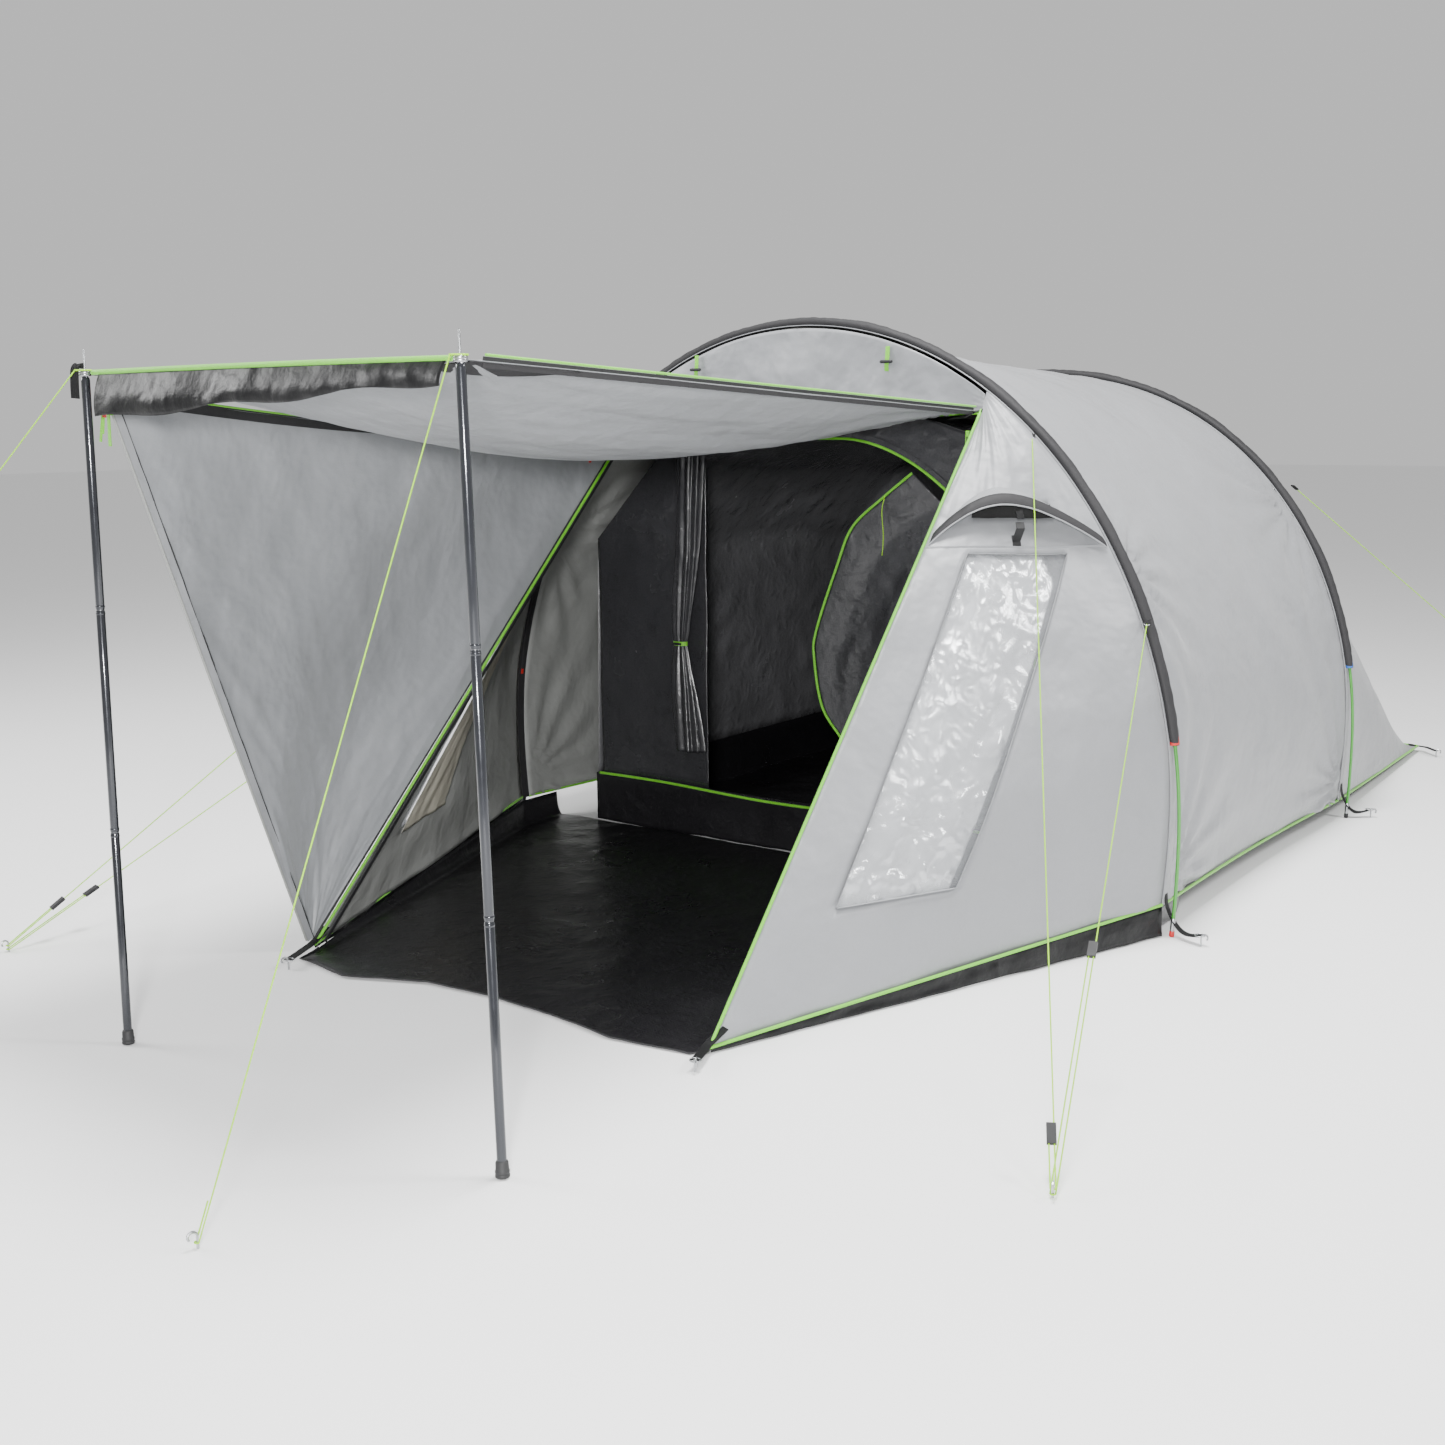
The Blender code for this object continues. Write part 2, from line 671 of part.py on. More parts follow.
DOOR_LEFT, DOOR_RIGHT = -0.470, 0.700
DOOR_TOP = 1.305


def door_head(x):
    """Height of the bedroom door's edge above its sill, straight on the left, round right."""
    if x < 0.04:
        return DOOR_TOP
    reach = min((x - 0.04) / (DOOR_RIGHT - 0.04), 1.0)
    return 0.555 + 0.750 * (1 - reach ** 1.8) ** (1 / 1.8)


def front_outline(x):
    """Top edge of the inner tent's front wall."""
    corners = [(0, INNER_HEIGHT), (0.305, 1.370), (0.6475, 1.2624), (0.925, INNER_SHOULDER_Z)]
    return float(np.interp(abs(x), [c[0] for c in corners], [c[1] for c in corners]))


def build_inner(m):
    rows = []
    for y, floor_half, shoulder_half, shoulder_z, top_z in INNER_STATIONS:
        base = INNER_SILL_Z + 0.002
        rows.append([inner_section(s, floor_half, shoulder_half, shoulder_z, top_z, base, y)
                     for s in np.linspace(0, 1, 17)])
    shell("inner_body", rows, m["inner"])

    columns = [-0.920, -0.76, -0.6475, -0.56, DOOR_LEFT, -0.38, -0.305, -0.15, 0.04, 0.17,
               0.305, 0.42, 0.52, 0.60, 0.655, 0.688, DOOR_RIGHT, 0.78, 0.86, 0.920]
    grid = []
    for x in columns:
        top = front_outline(x)
        if DOOR_LEFT <= x <= DOOR_RIGHT:
            head = door_head(x)
        else:
            head = min(0.555 if x > 0 else DOOR_TOP - 0.10, top - 0.06)
        low = INNER_SILL_Z + 0.002
        levels = [low, low + (head - low) * 0.5, head, head + (top - head) * 0.5, top]
        grid.append([(x, INNER_FRONT_Y, z) for z in levels])
    door = [columns.index(DOOR_LEFT), columns.index(DOOR_RIGHT)]
    shell("inner_front_wall", grid, m["inner"],
          keep=lambda i, j: not (door[0] <= i < door[1] and j < 2))

    # Bathtub floor: an open tray.
    x0, x1 = INNER_HALF_FLOOR, INNER_HALF_FLOOR
    y0, y1 = INNER_FRONT_Y - 0.001, INNER_REAR_Y
    points = []
    for z, grow in ((0.0, 0.0), (INNER_SILL_Z, 0.0), (INNER_SILL_Z, -FABRIC), (FABRIC, -FABRIC)):
        for x, y in ((-x0 - grow, y0 - grow), (x1 + grow, y0 - grow), (x1 + grow, y1 + grow),
                     (-x0 - grow, y1 + grow)):
            points.append((x, y, z + 0.0003))
    faces = [(0, 1, 2, 3), (12, 13, 14, 15)]
    faces[0] = tuple(reversed(faces[0]))
    for ring in range(3):
        for k in range(4):
            n = (k + 1) % 4
            faces.append((4 * ring + k, 4 * ring + n, 4 * ring + 4 + n, 4 * ring + 4 + k))
    add_mesh("inner_floor", points, faces, m["groundsheet"], smooth=False)

    # The door curtain, gathered at the left jamb and tied.
    heights = [1.290, 1.200, 1.000, 0.800, 0.690, 0.645, 0.600, 0.500, 0.400, 0.300]
    spine = [(-0.500, 0.115, h) for h in heights]
    spine = [(x - 0.052 * math.exp(-((h - 0.645) / 0.30) ** 2), y, h) for x, y, h in spine]
    widths = [0.048, 0.044, 0.040, 0.036, 0.030, 0.024, 0.030, 0.042, 0.048, 0.050]
    rod("door_curtain", spine, widths, m["inner"], sides=10, reference=(1, 0, 0), flat=0.5)

    # The second door flap hangs open, its free edge pulled aside.
    edge = [(0.250, 1.205), (0.150, 1.130), (0.045, 1.040), (-0.010, 0.918), (-0.085, 0.714),
            (-0.092, 0.626), (-0.062, 0.476), (0.010, 0.380)]
    grid = []
    for x_free, z_free in edge:
        row = []
        for k in np.linspace(0, 1, 7):
            x = x_free + (0.735 - x_free) * k
            z = z_free + (min(z_free, 0.560 + 0.15 * z_free) - z_free) * k
            y = 0.205 + 0.030 * math.sin(3 * math.pi * k) * (0.3 + k)
            row.append((x, y, z))
        grid.append(row)
    shell("door_flap", grid, m["inner"])


# ---- guy lines, runners, pegs and zip sliders ---------------------------------------------
def peg(name, at, lean, m):
    """A wire peg driven in up to its hook; the part above the ground."""
    lean = np.array([*lean, 0.0])
    lean = lean / max(np.linalg.norm(lean), 1e-9)
    up = np.array([0.0, 0.0, 1.0])
    foot = np.array([*at, 0.0])
    path = [foot + up * 0.0002, foot + up * 0.024]
    radius = 0.0085
    centre = foot + up * 0.024 + lean * radius
    for k in range(1, 8):
        turn = math.radians(32 * k)
        path.append(centre - lean * radius * math.cos(turn) + up * radius * math.sin(turn))
    rod(name, path, PEG_WIRE, m["steel"], sides=6, reference=(-lean[1], lean[0], 0.0))


def runner_frame(start, end):
    axis = end - start
    axis = axis / np.linalg.norm(axis)
    side = np.cross(axis, np.array([0.0, 0.0, 1.0]))
    side = side / np.linalg.norm(side)
    return axis, side, np.cross(side, axis)


LEG_GAP = 0.0100          # between the two legs of a line below its runner


def runner_solid(name, centre, axis, side, thick, m):
    """A flat runner with two bores: one on the standing line, one on the returning leg."""
    wide, deep, tall = RUNNER_SIZE
    sides = 8
    bore = CORD_RADIUS + 0.0007
    middle = centre + side * LEG_GAP / 2
    ends = []
    for end in (-tall / 2, tall / 2):
        outer = []
        for a, b in ((-1, -1), (1, -1), (1, 1), (-1, 1)):
            outer.append(middle + side * a * wide / 2 + thick * b * deep / 2 + axis * end)
        holes = []
        for offset in (0.0, LEG_GAP):
            hole = []
            for k in range(sides):
                turn = math.pi / 4 + 2 * math.pi * k / sides
                hole.append(centre + side * (offset + bore * math.cos(turn)) +
                            thick * bore * math.sin(turn) + axis * end)
            holes.append(hole)
        ends.append((outer, holes))
    points = []
    index = []
    for outer, holes in ends:
        base = len(points)
        points += outer + holes[0] + holes[1]
        index.append(base)
    # The middle line between the bores splits each end face into two ringed quads.
    for base_index in range(2):
        base = index[base_index]
        end = (-tall / 2, tall / 2)[base_index]
        for b in (-1, 1):
            points.append(middle + thick * b * deep / 2 + axis * end)
        index.append(len(points) - 2)
    faces = []
    for e, base in enumerate(index[:2]):
        mid = index[2 + e]
        corners = [[mid + 0, base + 0, base + 3, mid + 1], [base + 1, mid + 0, mid + 1, base + 2]]
        # Corner order round each bore: lower inner, lower outer, upper outer, upper inner.
        for h in range(2):
            hole = [base + 4 + h * sides + k for k in range(sides)]
            quad = corners[h]
            located = sorted(quad, key=lambda q: math.atan2(
                float(np.dot(points[q] - centre - side * h * LEG_GAP, thick)),
                float(np.dot(points[q] - centre - side * h * LEG_GAP, side))))
            turned = [located[2], located[3], located[0], located[1]]
            # Their angles are -135, -45, 45 and 135 degrees; the ring of faces starts at 45.
            for q in range(4):
                a = turned[q]
                b = turned[(q + 1) % 4]
                first, mid_point, last = (hole[(2 * q) % sides], hole[(2 * q + 1) % sides],
                                          hole[(2 * q + 2) % sides])
                parts = [(a, b, mid_point), (a, mid_point, first), (b, last, mid_point)]
                for part in parts:
                    faces.append(part if e == 1 else tuple(reversed(part)))
    low, high = index[0], index[1]
    rim_low = [low + 0, index[2] + 0, low + 1, low + 2, index[2] + 1, low + 3]
    rim_high = [high + 0, index[3] + 0, high + 1, high + 2, index[3] + 1, high + 3]
    for k in range(6):
        n = (k + 1) % 6
        faces.append((rim_low[k], rim_low[n], rim_high[n], rim_high[k]))
    for h in range(2):
        for k in range(sides):
            n = (k + 1) % sides
            a = low + 4 + h * sides
            b = high + 4 + h * sides
            faces.append((a + n, a + k, b + k, b + n))
    add_mesh(name, points, faces, m["black_plastic"], origin=tuple(centre), smooth=False)


def guy_route(start, peg_at, height, back_to):
    """Down to the peg, round its shank and back up beside itself to a share of the way."""
    around = np.array([peg_at[0], peg_at[1], height])
    _, side, _ = runner_frame(start, around)
    end = around - side * LEG_GAP / 2
    length = float(np.linalg.norm(end - start))
    axis = (end - start) / length
    points = [start + axis * length * t for t in np.linspace(0, 1, 14)]
    level = axis * np.array([1.0, 1.0, 0.0])
    level = level / np.linalg.norm(level)
    for turn in np.linspace(0, math.pi, 7)[1:]:
        points.append(around - side * (LEG_GAP / 2) * math.cos(turn) +
                      level * (LEG_GAP / 2) * math.sin(turn))
    stop = start + axis * length * back_to + side * LEG_GAP
    back = points[-1]
    points += [back + (stop - back) * t for t in np.linspace(0.1, 1, 5)]
    return points, axis, length


def guy_with_runner(name, start, peg_at, height, share, m):
    """A guy line from its tab to the peg and back up to the runner that tightens it."""
    start = np.array(start, float)
    points, axis, length = guy_route(start, peg_at, height, share)
    cord("guy_" + name, points, m["cord"])
    centre = start + axis * length * share
    _, side, thick = runner_frame(start, start + axis)
    runner_solid("runner_" + name, centre, axis, side, thick, m)


def plain_guy(name, start, peg_at, m):
    start = np.array(start, float)
    length = float(np.linalg.norm(np.array([*peg_at, 0.0]) - start))
    points, _, _ = guy_route(start, peg_at, 0.012, 1 - 0.07 / length)
    cord("guy_" + name, points, m["cord"])


def zip_slider(name, at, forward, m):
    """A zip slider with its pull tape hanging down, beside the edge that it runs on."""
    forward = np.array([*forward, 0.0])
    forward = forward / np.linalg.norm(forward)
    across = np.array([-forward[1], forward[0], 0.0])
    centre = np.array(at, float) + forward * 0.010
    # The outline seen from the side: the slider, and the tape from its front lower corner.
    outline = [(-0.0045, -0.008), (-0.0045, 0.008), (0.0045, 0.008), (0.0045, -0.004),
               (0.0060, -0.075), (0.0042, -0.075), (0.0027, -0.008)]
    points = []
    for half in (-0.0045, 0.0045):
        for reach, height in outline:
            points.append(centre + forward * reach + across * half + np.array([0, 0, height]))
    count = len(outline)
    faces = [tuple(range(count)), tuple(range(2 * count - 1, count - 1, -1))]
    for k in range(count):
        n = (k + 1) % count
        faces.append((k, k + count, n + count, n))
    add_mesh(name, points, faces, m["lime"], origin=tuple(centre), smooth=False)


def off_sleeve(point, peg_at, distance=0.030):
    """The end of a guy tab, this far from the pole's axis towards the peg."""
    point = np.array(point, float)
    towards = np.array([*peg_at, 0.0]) - point
    return point + towards / np.linalg.norm(towards) * distance


def build_guying(m):
    for side, sign in (("right", 1), ("left", -1)):
        flip = np.array([sign, 1, 1])
        at = PEG_AT["guy_" + side]
        low = off_sleeve(np.array(FRONT_GUY_LOW) * flip, at)
        high = off_sleeve(np.array(FRONT_GUY_HIGH) * flip, at)
        shares = (0.66, 0.95) if side == "right" else (0.87, 0.93)
        guy_with_runner("front_" + side + "_low", low, at, 0.008, shares[0], m)
        guy_with_runner("front_" + side + "_high", high, at, 0.018, shares[1], m)
        at = PEG_AT["rear_" + side]
        plain_guy("rear_" + side, off_sleeve(np.array(REAR_GUY) * flip, at), at, m)
        at = PEG_AT["pole_" + side]
        top = np.array([*POLE_TOP[side], CANOPY_FRONT_Z + 0.006])
        towards = np.array([*at, 0.0]) - top
        towards[2] = 0.0
        plain_guy("pole_" + side, top + towards / np.linalg.norm(towards) * 0.021, at, m)
    for name, at in PEG_AT.items():
        kind, side = name.split("_")
        sign = 1 if side == "right" else -1
        origin = {"guy": np.array([0.93 * sign, 0.0]), "pole": np.array(POLE_TOP[side]),
                  "rear": np.array([REAR_GUY[0] * sign, REAR_GUY[1]])}[kind]
        peg("peg_" + name if kind == "guy" else "peg_guy_" + name, at, np.array(at) - origin, m)
    for name, at in CORNER_PEGS.items():
        for side, sign in (("right", 1), ("left", -1)):
            place = (sign * at[0], at[1])
            if name == "corner" and side == "left":
                place = LEFT_CORNER_PEG
            peg("peg_" + name + "_" + side, place,
                (sign * 1.0, -1.0 if name == "corner" else 0.2), m)


def build_zip_sliders(m):
    zip_slider("zip_slider_right", zip_point(0.955), (-1.0, -0.15), m)
    zip_slider("zip_slider_left", windbreak_point(0.0, 0.030), (0.05, -1.0), m)


def main():
    clear_scene()
    m = {
        "fly": material("fly_silver_polyester", (0.52, 0.53, 0.55), 0.55),
        "fly_inside": material("fly_underside", (0.40, 0.41, 0.42), 0.60),
        "charcoal": material("charcoal_polyester", (0.075, 0.073, 0.075), 0.62),
        "black_coated": material("black_coated_polyester", (0.035, 0.034, 0.036), 0.38),
        "clear": material("clear_pvc", (0.80, 0.82, 0.84), 0.12, alpha=0.35),
        "silver": material("silver_curtain", (0.55, 0.55, 0.56), 0.35),
        "fibreglass": material("green_fibreglass", (0.11, 0.36, 0.08), 0.35),
        "pole": material("anthracite_steel", (0.055, 0.058, 0.065), 0.25, metallic=0.6),
        "groundsheet": material("dark_groundsheet", (0.030, 0.029, 0.033), 0.42),
        "inner": material("black_inner_tent", (0.018, 0.018, 0.020), 0.40),
        "black_plastic": material("black_plastic", (0.020, 0.020, 0.021), 0.45),
        "cord": material("lime_cord", (0.62, 0.90, 0.06), 0.50),
        "lime": material("lime_webbing", (0.35, 0.72, 0.06), 0.55),
        "steel": material("galvanised_steel", (0.55, 0.56, 0.57), 0.35, metallic=1.0),
    }
    build_hoops(m)
    build_fly(m)
    build_walls(m)
    build_canopy(m)
    build_windbreak(m)
    build_awning_poles(m)
    build_groundsheet(m)
    build_inner(m)
    build_guying(m)
    build_zip_sliders(m)


main()
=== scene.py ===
"""The looks of a two-hoop tunnel tent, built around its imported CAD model."""

import functools
import json
import math

import bmesh
import bpy
import numpy as np
from mathutils import Matrix, Vector

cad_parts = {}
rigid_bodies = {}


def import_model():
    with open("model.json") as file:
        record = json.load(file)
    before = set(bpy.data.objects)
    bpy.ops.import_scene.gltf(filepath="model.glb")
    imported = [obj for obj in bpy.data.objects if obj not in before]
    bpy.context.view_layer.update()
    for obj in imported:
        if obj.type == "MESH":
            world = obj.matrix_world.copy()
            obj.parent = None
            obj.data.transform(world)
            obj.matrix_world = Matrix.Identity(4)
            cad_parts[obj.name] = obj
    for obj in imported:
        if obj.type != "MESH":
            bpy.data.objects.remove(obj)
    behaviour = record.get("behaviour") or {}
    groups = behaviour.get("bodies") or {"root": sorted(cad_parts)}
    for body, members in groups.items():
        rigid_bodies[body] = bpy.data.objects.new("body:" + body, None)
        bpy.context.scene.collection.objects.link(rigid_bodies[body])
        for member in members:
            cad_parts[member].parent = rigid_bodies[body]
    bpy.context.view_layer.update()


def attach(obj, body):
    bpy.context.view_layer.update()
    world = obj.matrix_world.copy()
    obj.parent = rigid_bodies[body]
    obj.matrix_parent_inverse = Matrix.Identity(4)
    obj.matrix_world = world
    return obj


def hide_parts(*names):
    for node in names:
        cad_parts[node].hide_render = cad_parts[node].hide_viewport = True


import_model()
NODE_NAMES = {n.name for n in bpy.data.objects}

# ---- dimensions shared with the CAD model ---------------------------------------------------
REAR_HOOP_Y = 1.606
POLE_RADIUS = 0.0048
SLEEVE_END_Z = 0.520
SLEEVE_HALF_WIDTH = 0.018
GAP = 0.0005
REAR_EDGE_Y = 2.930
REAR_EDGE_HALF = 1.085
FRONT_CORNER = (0.645, -1.366, 0.014)
ZIP_TOP = (0.594, -0.034, 1.385)
CANOPY_FRONT_Z = 1.478
POLE_TOP = {"right": (0.600, -2.010), "left": (-0.540, -1.990)}
POLE_FOOT = {"right": (0.690, -2.070), "left": (-0.465, -2.060)}
AWNING_POLE_RADIUS = 0.0095
INNER_FRONT_Y = 0.150
INNER_SILL_Z = 0.170
CORD_RADIUS = 0.0015
PIPING_RADIUS = 0.0042
LEG_GAP = 0.0100
PEG_AT = {
    "guy_right": (1.552, -1.567), "guy_left": (-1.305, -1.841),
    "pole_right": (0.450, -2.560), "pole_left": (-1.240, -2.9447),
    "rear_right": (1.830, 2.920), "rear_left": (-1.830, 2.920),
}
FRONT_GUY_LOW = (1.072, -0.004, 0.849)
FRONT_GUY_HIGH = (0.732, -0.008, 1.332)
REAR_GUY = (0.925, REAR_HOOP_Y + 0.004, 1.130)


# ---- camera, floor and light ----------------------------------------------------------------
CAMERA_AT = (2.704, -4.142, 1.375)
CAMERA_YAW, CAMERA_PITCH, CAMERA_ROLL = 35.98, 10.43, -0.538
CAMERA_LENS = 41.43
FLOOR_HALF = 40
FLOOR_Z = -0.0002
# Each light: name, place, target, size in metres and power in watts.
LIGHTS = (
    ("overhead", (0.8, -0.8, 5.2), (0.0, 0.3, 0.0), 1.8, 520),
    ("key", (4.2, 0.9, 3.8), (0.8, -0.2, 0.6), 0.9, 130),
    ("left", (-4.6, -3.4, 3.2), (0.0, -0.5, 0.6), 2.2, 200),
    ("front", (3.0, -4.9, 1.7), (-0.5, 0.9, 0.7), 0.5, 300),
)


def build_stage():
    scene = bpy.context.scene
    yaw, pitch, roll = (math.radians(a) for a in (CAMERA_YAW, CAMERA_PITCH, CAMERA_ROLL))
    forward = Vector((-math.sin(yaw) * math.cos(pitch), math.cos(yaw) * math.cos(pitch),
                      -math.sin(pitch)))
    right = Vector((math.cos(yaw), math.sin(yaw), 0))
    up = right.cross(forward)
    x = right * math.cos(roll) + up * math.sin(roll)
    y = up * math.cos(roll) - right * math.sin(roll)
    data = bpy.data.cameras.new("camera")
    data.sensor_width = 36.0
    data.sensor_fit = "HORIZONTAL"
    data.lens = CAMERA_LENS
    data.clip_end = 100.0
    camera = bpy.data.objects.new("camera", data)
    scene.collection.objects.link(camera)
    camera.matrix_world = Matrix.Translation(CAMERA_AT) @ Matrix(
        (x, y, -forward)).transposed().to_4x4()
    scene.camera = camera

    mesh = bpy.data.meshes.new("floor")
    corners = ((-1, -1), (1, -1), (1, 1), (-1, 1))
    mesh.from_pydata([(x * FLOOR_HALF, y * FLOOR_HALF, FLOOR_Z) for x, y in corners], [],
                     [(0, 1, 2, 3)])
    floor = bpy.data.objects.new("floor", mesh)
    scene.collection.objects.link(floor)
    made = bpy.data.materials.new("stage_floor")
    made.use_nodes = True
    shader = made.node_tree.nodes["Principled BSDF"]
    shader.inputs["Base Color"].default_value = (0.90, 0.90, 0.90, 1)
    shader.inputs["Roughness"].default_value = 0.9
    mesh.materials.append(made)

    world = bpy.data.worlds.new("studio")
    scene.world = world
    world.use_nodes = True
    background = world.node_tree.nodes["Background"]
    background.inputs["Color"].default_value = (1.0, 1.0, 1.0, 1)
    background.inputs["Strength"].default_value = 0.66
    for name, at, target, size, power in LIGHTS:
        data = bpy.data.lights.new(name, "AREA")
        data.shape = "DISK"
        data.size = size
        data.energy = power
        lamp = bpy.data.objects.new(name, data)
        scene.collection.objects.link(lamp)
        lamp.location = at
        lamp.rotation_euler = (Vector(target) - Vector(at)).to_track_quat("-Z", "Y").to_euler()


# ---- geometry shared with the CAD model -----------------------------------------------------
HOOPS = {
    "front": (1.178, 1.640, 2.02, 0.254, 0.143, 0.0),
    "rear": (1.177, 1.520, 2.13, 0.232, 0.108, REAR_HOOP_Y),
}
STRAIGHT = 0.15
INSET = 0.011


def hoop_point(hoop, share, inset=0.0):
    """A point of the hoop: share 0 is the right foot, 1 the top and 2 the left foot."""
    half, height, power, knee, bow, y = HOOPS[hoop]
    side = 1.0 if share <= 1 else -1.0
    share = share if share <= 1 else 2 - share
    if share < STRAIGHT:
        z = knee * share / STRAIGHT
        x = half - bow * (knee - z) ** 2
    else:
        turn = (share - STRAIGHT) / (1 - STRAIGHT) * math.pi / 2
        x = half * math.cos(turn) ** (2 / power)
        z = knee + (height - knee) * math.sin(turn) ** (2 / power)
    low = max(0.0, 1 - z / SLEEVE_END_Z)
    x -= (inset + 0.022 * low * (inset > 0)) * x / half
    z -= inset * z / height
    return np.array([side * x, y, z])


def share_at(hoop, wanted, axis, inset=0.0):
    low, high = 0.0, 1.0
    for _ in range(50):
        middle = (low + high) / 2
        if (hoop_point(hoop, middle, inset)[axis] < wanted) == (axis == 2):
            low = middle
        else:
            high = middle
    return (low + high) / 2


def zip_point(share):
    low = np.array(FRONT_CORNER)
    return low + (np.array(ZIP_TOP) - low) * share


WALL_TOP_SHARE = share_at("front", 0.603, 0, INSET)
WALL_LOW_SHARE = share_at("front", 0.088, 2, INSET)


def wall_point(u, v, out=0.0):
    """A point on the right porch wall: u from the zip to the hoop, v from the ground up."""
    def raw(a, b):
        arc = hoop_point("front", WALL_LOW_SHARE + (WALL_TOP_SHARE - WALL_LOW_SHARE) * b, INSET)
        arc[1] = -SLEEVE_HALF_WIDTH - GAP
        edge = zip_point(b)
        belly = 0.012 * math.sin(math.pi * a) * math.sin(math.pi * min(max(b, 0), 1))
        return edge + (arc - edge) * a + belly * np.array([0.75, -0.6, 0.25])
    point = raw(u, v)
    if out:
        step = 1e-3
        normal = np.cross(raw(u + step, v) - raw(u - step, v), raw(u, v + step) - raw(u, v - step))
        point = point + normal / np.linalg.norm(normal) * out
    return point


WINDOW_Z = (0.245, 1.018)
VENT_Z = (1.108, 1.140)
WALL_EVEN_Z = (0.130, 1.290)
WINDOW_LOW_U = (0.158, 0.440)
WINDOW_HIGH_U = (0.290, 0.800)
HOOD_BASE_Z = 1.045


def canopy_point(across, along):
    """The propped door panel: across from -1 (left) to 1 (right), along from hoop to poles."""
    rear = np.array([(ZIP_TOP[0] - 0.003) * across, ZIP_TOP[1] + 0.004, ZIP_TOP[2] - 0.003])
    left = np.array([*POLE_TOP["left"], CANOPY_FRONT_Z])
    right = np.array([*POLE_TOP["right"], CANOPY_FRONT_Z])
    front = left + (right - left) * (across + 1) / 2
    front[1] += 0.012 * (1 - across ** 2)
    point = rear + (front - rear) * along
    point[2] -= 0.155 * math.sin(math.pi * min(max(along, 0), 1)) ** 0.55 * (1 - across ** 2)
    point[2] += 0.016 * (1 - across ** 2) * along ** 6
    return point


def windbreak_point(u, v):
    """The side sheet: u from the pole top to the hoop, v down to the front ground corner."""
    flip = np.array([-1.0, 1.0, 1.0])
    pole = np.array([POLE_TOP["left"][0] - 0.010, POLE_TOP["left"][1] + 0.055, 1.440])
    hoop = zip_point(0.985) * flip + np.array([-0.006, -0.014, -0.006])
    corner = zip_point(0.012) * flip + np.array([-0.006, -0.014, 0.0])
    top = pole + (hoop - pole) * u
    top[2] -= 0.045 * math.sin(math.pi * u)
    low = corner + np.array([0.0, -0.022, 0.0]) * (1 - u)
    point = top + (low - top) * v
    point[0] -= 0.060 * math.sin(math.pi * u) * math.sin(math.pi * min(v, 1.0) ** 0.8)
    return point


# ---- noise for folds ------------------------------------------------------------------------
def ground_noise(x, y, seed):
    """Smooth gradient noise on a plane, about -1 to 1, the same every run."""
    rng = np.random.default_rng(seed)
    table = rng.permutation(256)
    angle = rng.uniform(0, 2 * math.pi, 256)
    x, y = np.asarray(x, float), np.asarray(y, float)
    i, j = np.floor(x).astype(int), np.floor(y).astype(int)
    fx, fy = x - i, y - j

    def corner(a, b):
        turn = angle[table[(table[(i + a) & 255] + j + b) & 255]]
        return np.cos(turn) * (fx - a) + np.sin(turn) * (fy - b)

    sx, sy = fx * fx * fx * (fx * (fx * 6 - 15) + 10), fy * fy * fy * (fy * (fy * 6 - 15) + 10)
    low = corner(0, 0) * (1 - sx) + corner(1, 0) * sx
    high = corner(0, 1) * (1 - sx) + corner(1, 1) * sx
    return 1.5 * (low * (1 - sy) + high * sy)


def folds(x, y, seed, sharp=0.35, octaves=3):
    """Creased noise: ridges where the noise changes sign, softened by sharp."""
    total, weight = 0.0, 0.0
    for k in range(octaves):
        n = ground_noise(x * 1.9 ** k, y * 1.9 ** k, seed + k)
        ridge = 1 - np.sqrt(n * n + (sharp * 0.3) ** 2)
        total = total + ridge * 0.55 ** k
        weight += 0.55 ** k
    return total / weight - 0.62


def wrinkles(x, y, angle, wavelength, depth, seed, patchy=0.25):
    """Long tension folds in metres: they run at an angle to x and come and go in patches."""
    across = -np.sin(angle) * x + np.cos(angle) * y
    along = np.cos(angle) * x + np.sin(angle) * y
    mask = np.clip(ground_noise(x / 0.55, y / 0.55, seed + 9) + patchy, 0, 1)
    line = folds(across / wavelength, along / (wavelength * 6), seed, octaves=2)
    return depth * line * (0.25 + mask)


def swell(t, soft=0.12):
    """0 at both ends of 0..1 and 1 between, over a soft share of the length."""
    t = np.clip(t, 0, 1)
    a = np.clip(t / soft, 0, 1)
    b = np.clip((1 - t) / soft, 0, 1)
    return (a * a * (3 - 2 * a)) * (b * b * (3 - 2 * b))


# ---- materials ------------------------------------------------------------------------------
def add(tree, kind, links=None, **values):
    made = tree.nodes.new(kind)
    for key, value in values.items():
        if key in made.inputs:
            made.inputs[key].default_value = value
        elif key.replace("_", " ") in made.inputs:
            made.inputs[key.replace("_", " ")].default_value = value
        else:
            setattr(made, key, value)
    for key, socket in (links or {}).items():
        tree.links.new(socket, made.inputs[key])
    return made



def ranged(tree, value, low, high):
    """The middle of a noise, stretched to run from low to high."""
    node = add(tree, "ShaderNodeMapRange", {"Value": value})
    limits = {"From Min": 0.3, "From Max": 0.7, "To Min": low, "To Max": high}
    for key, limit in limits.items():
        node.inputs[key].default_value = limit
    return node.outputs["Result"]


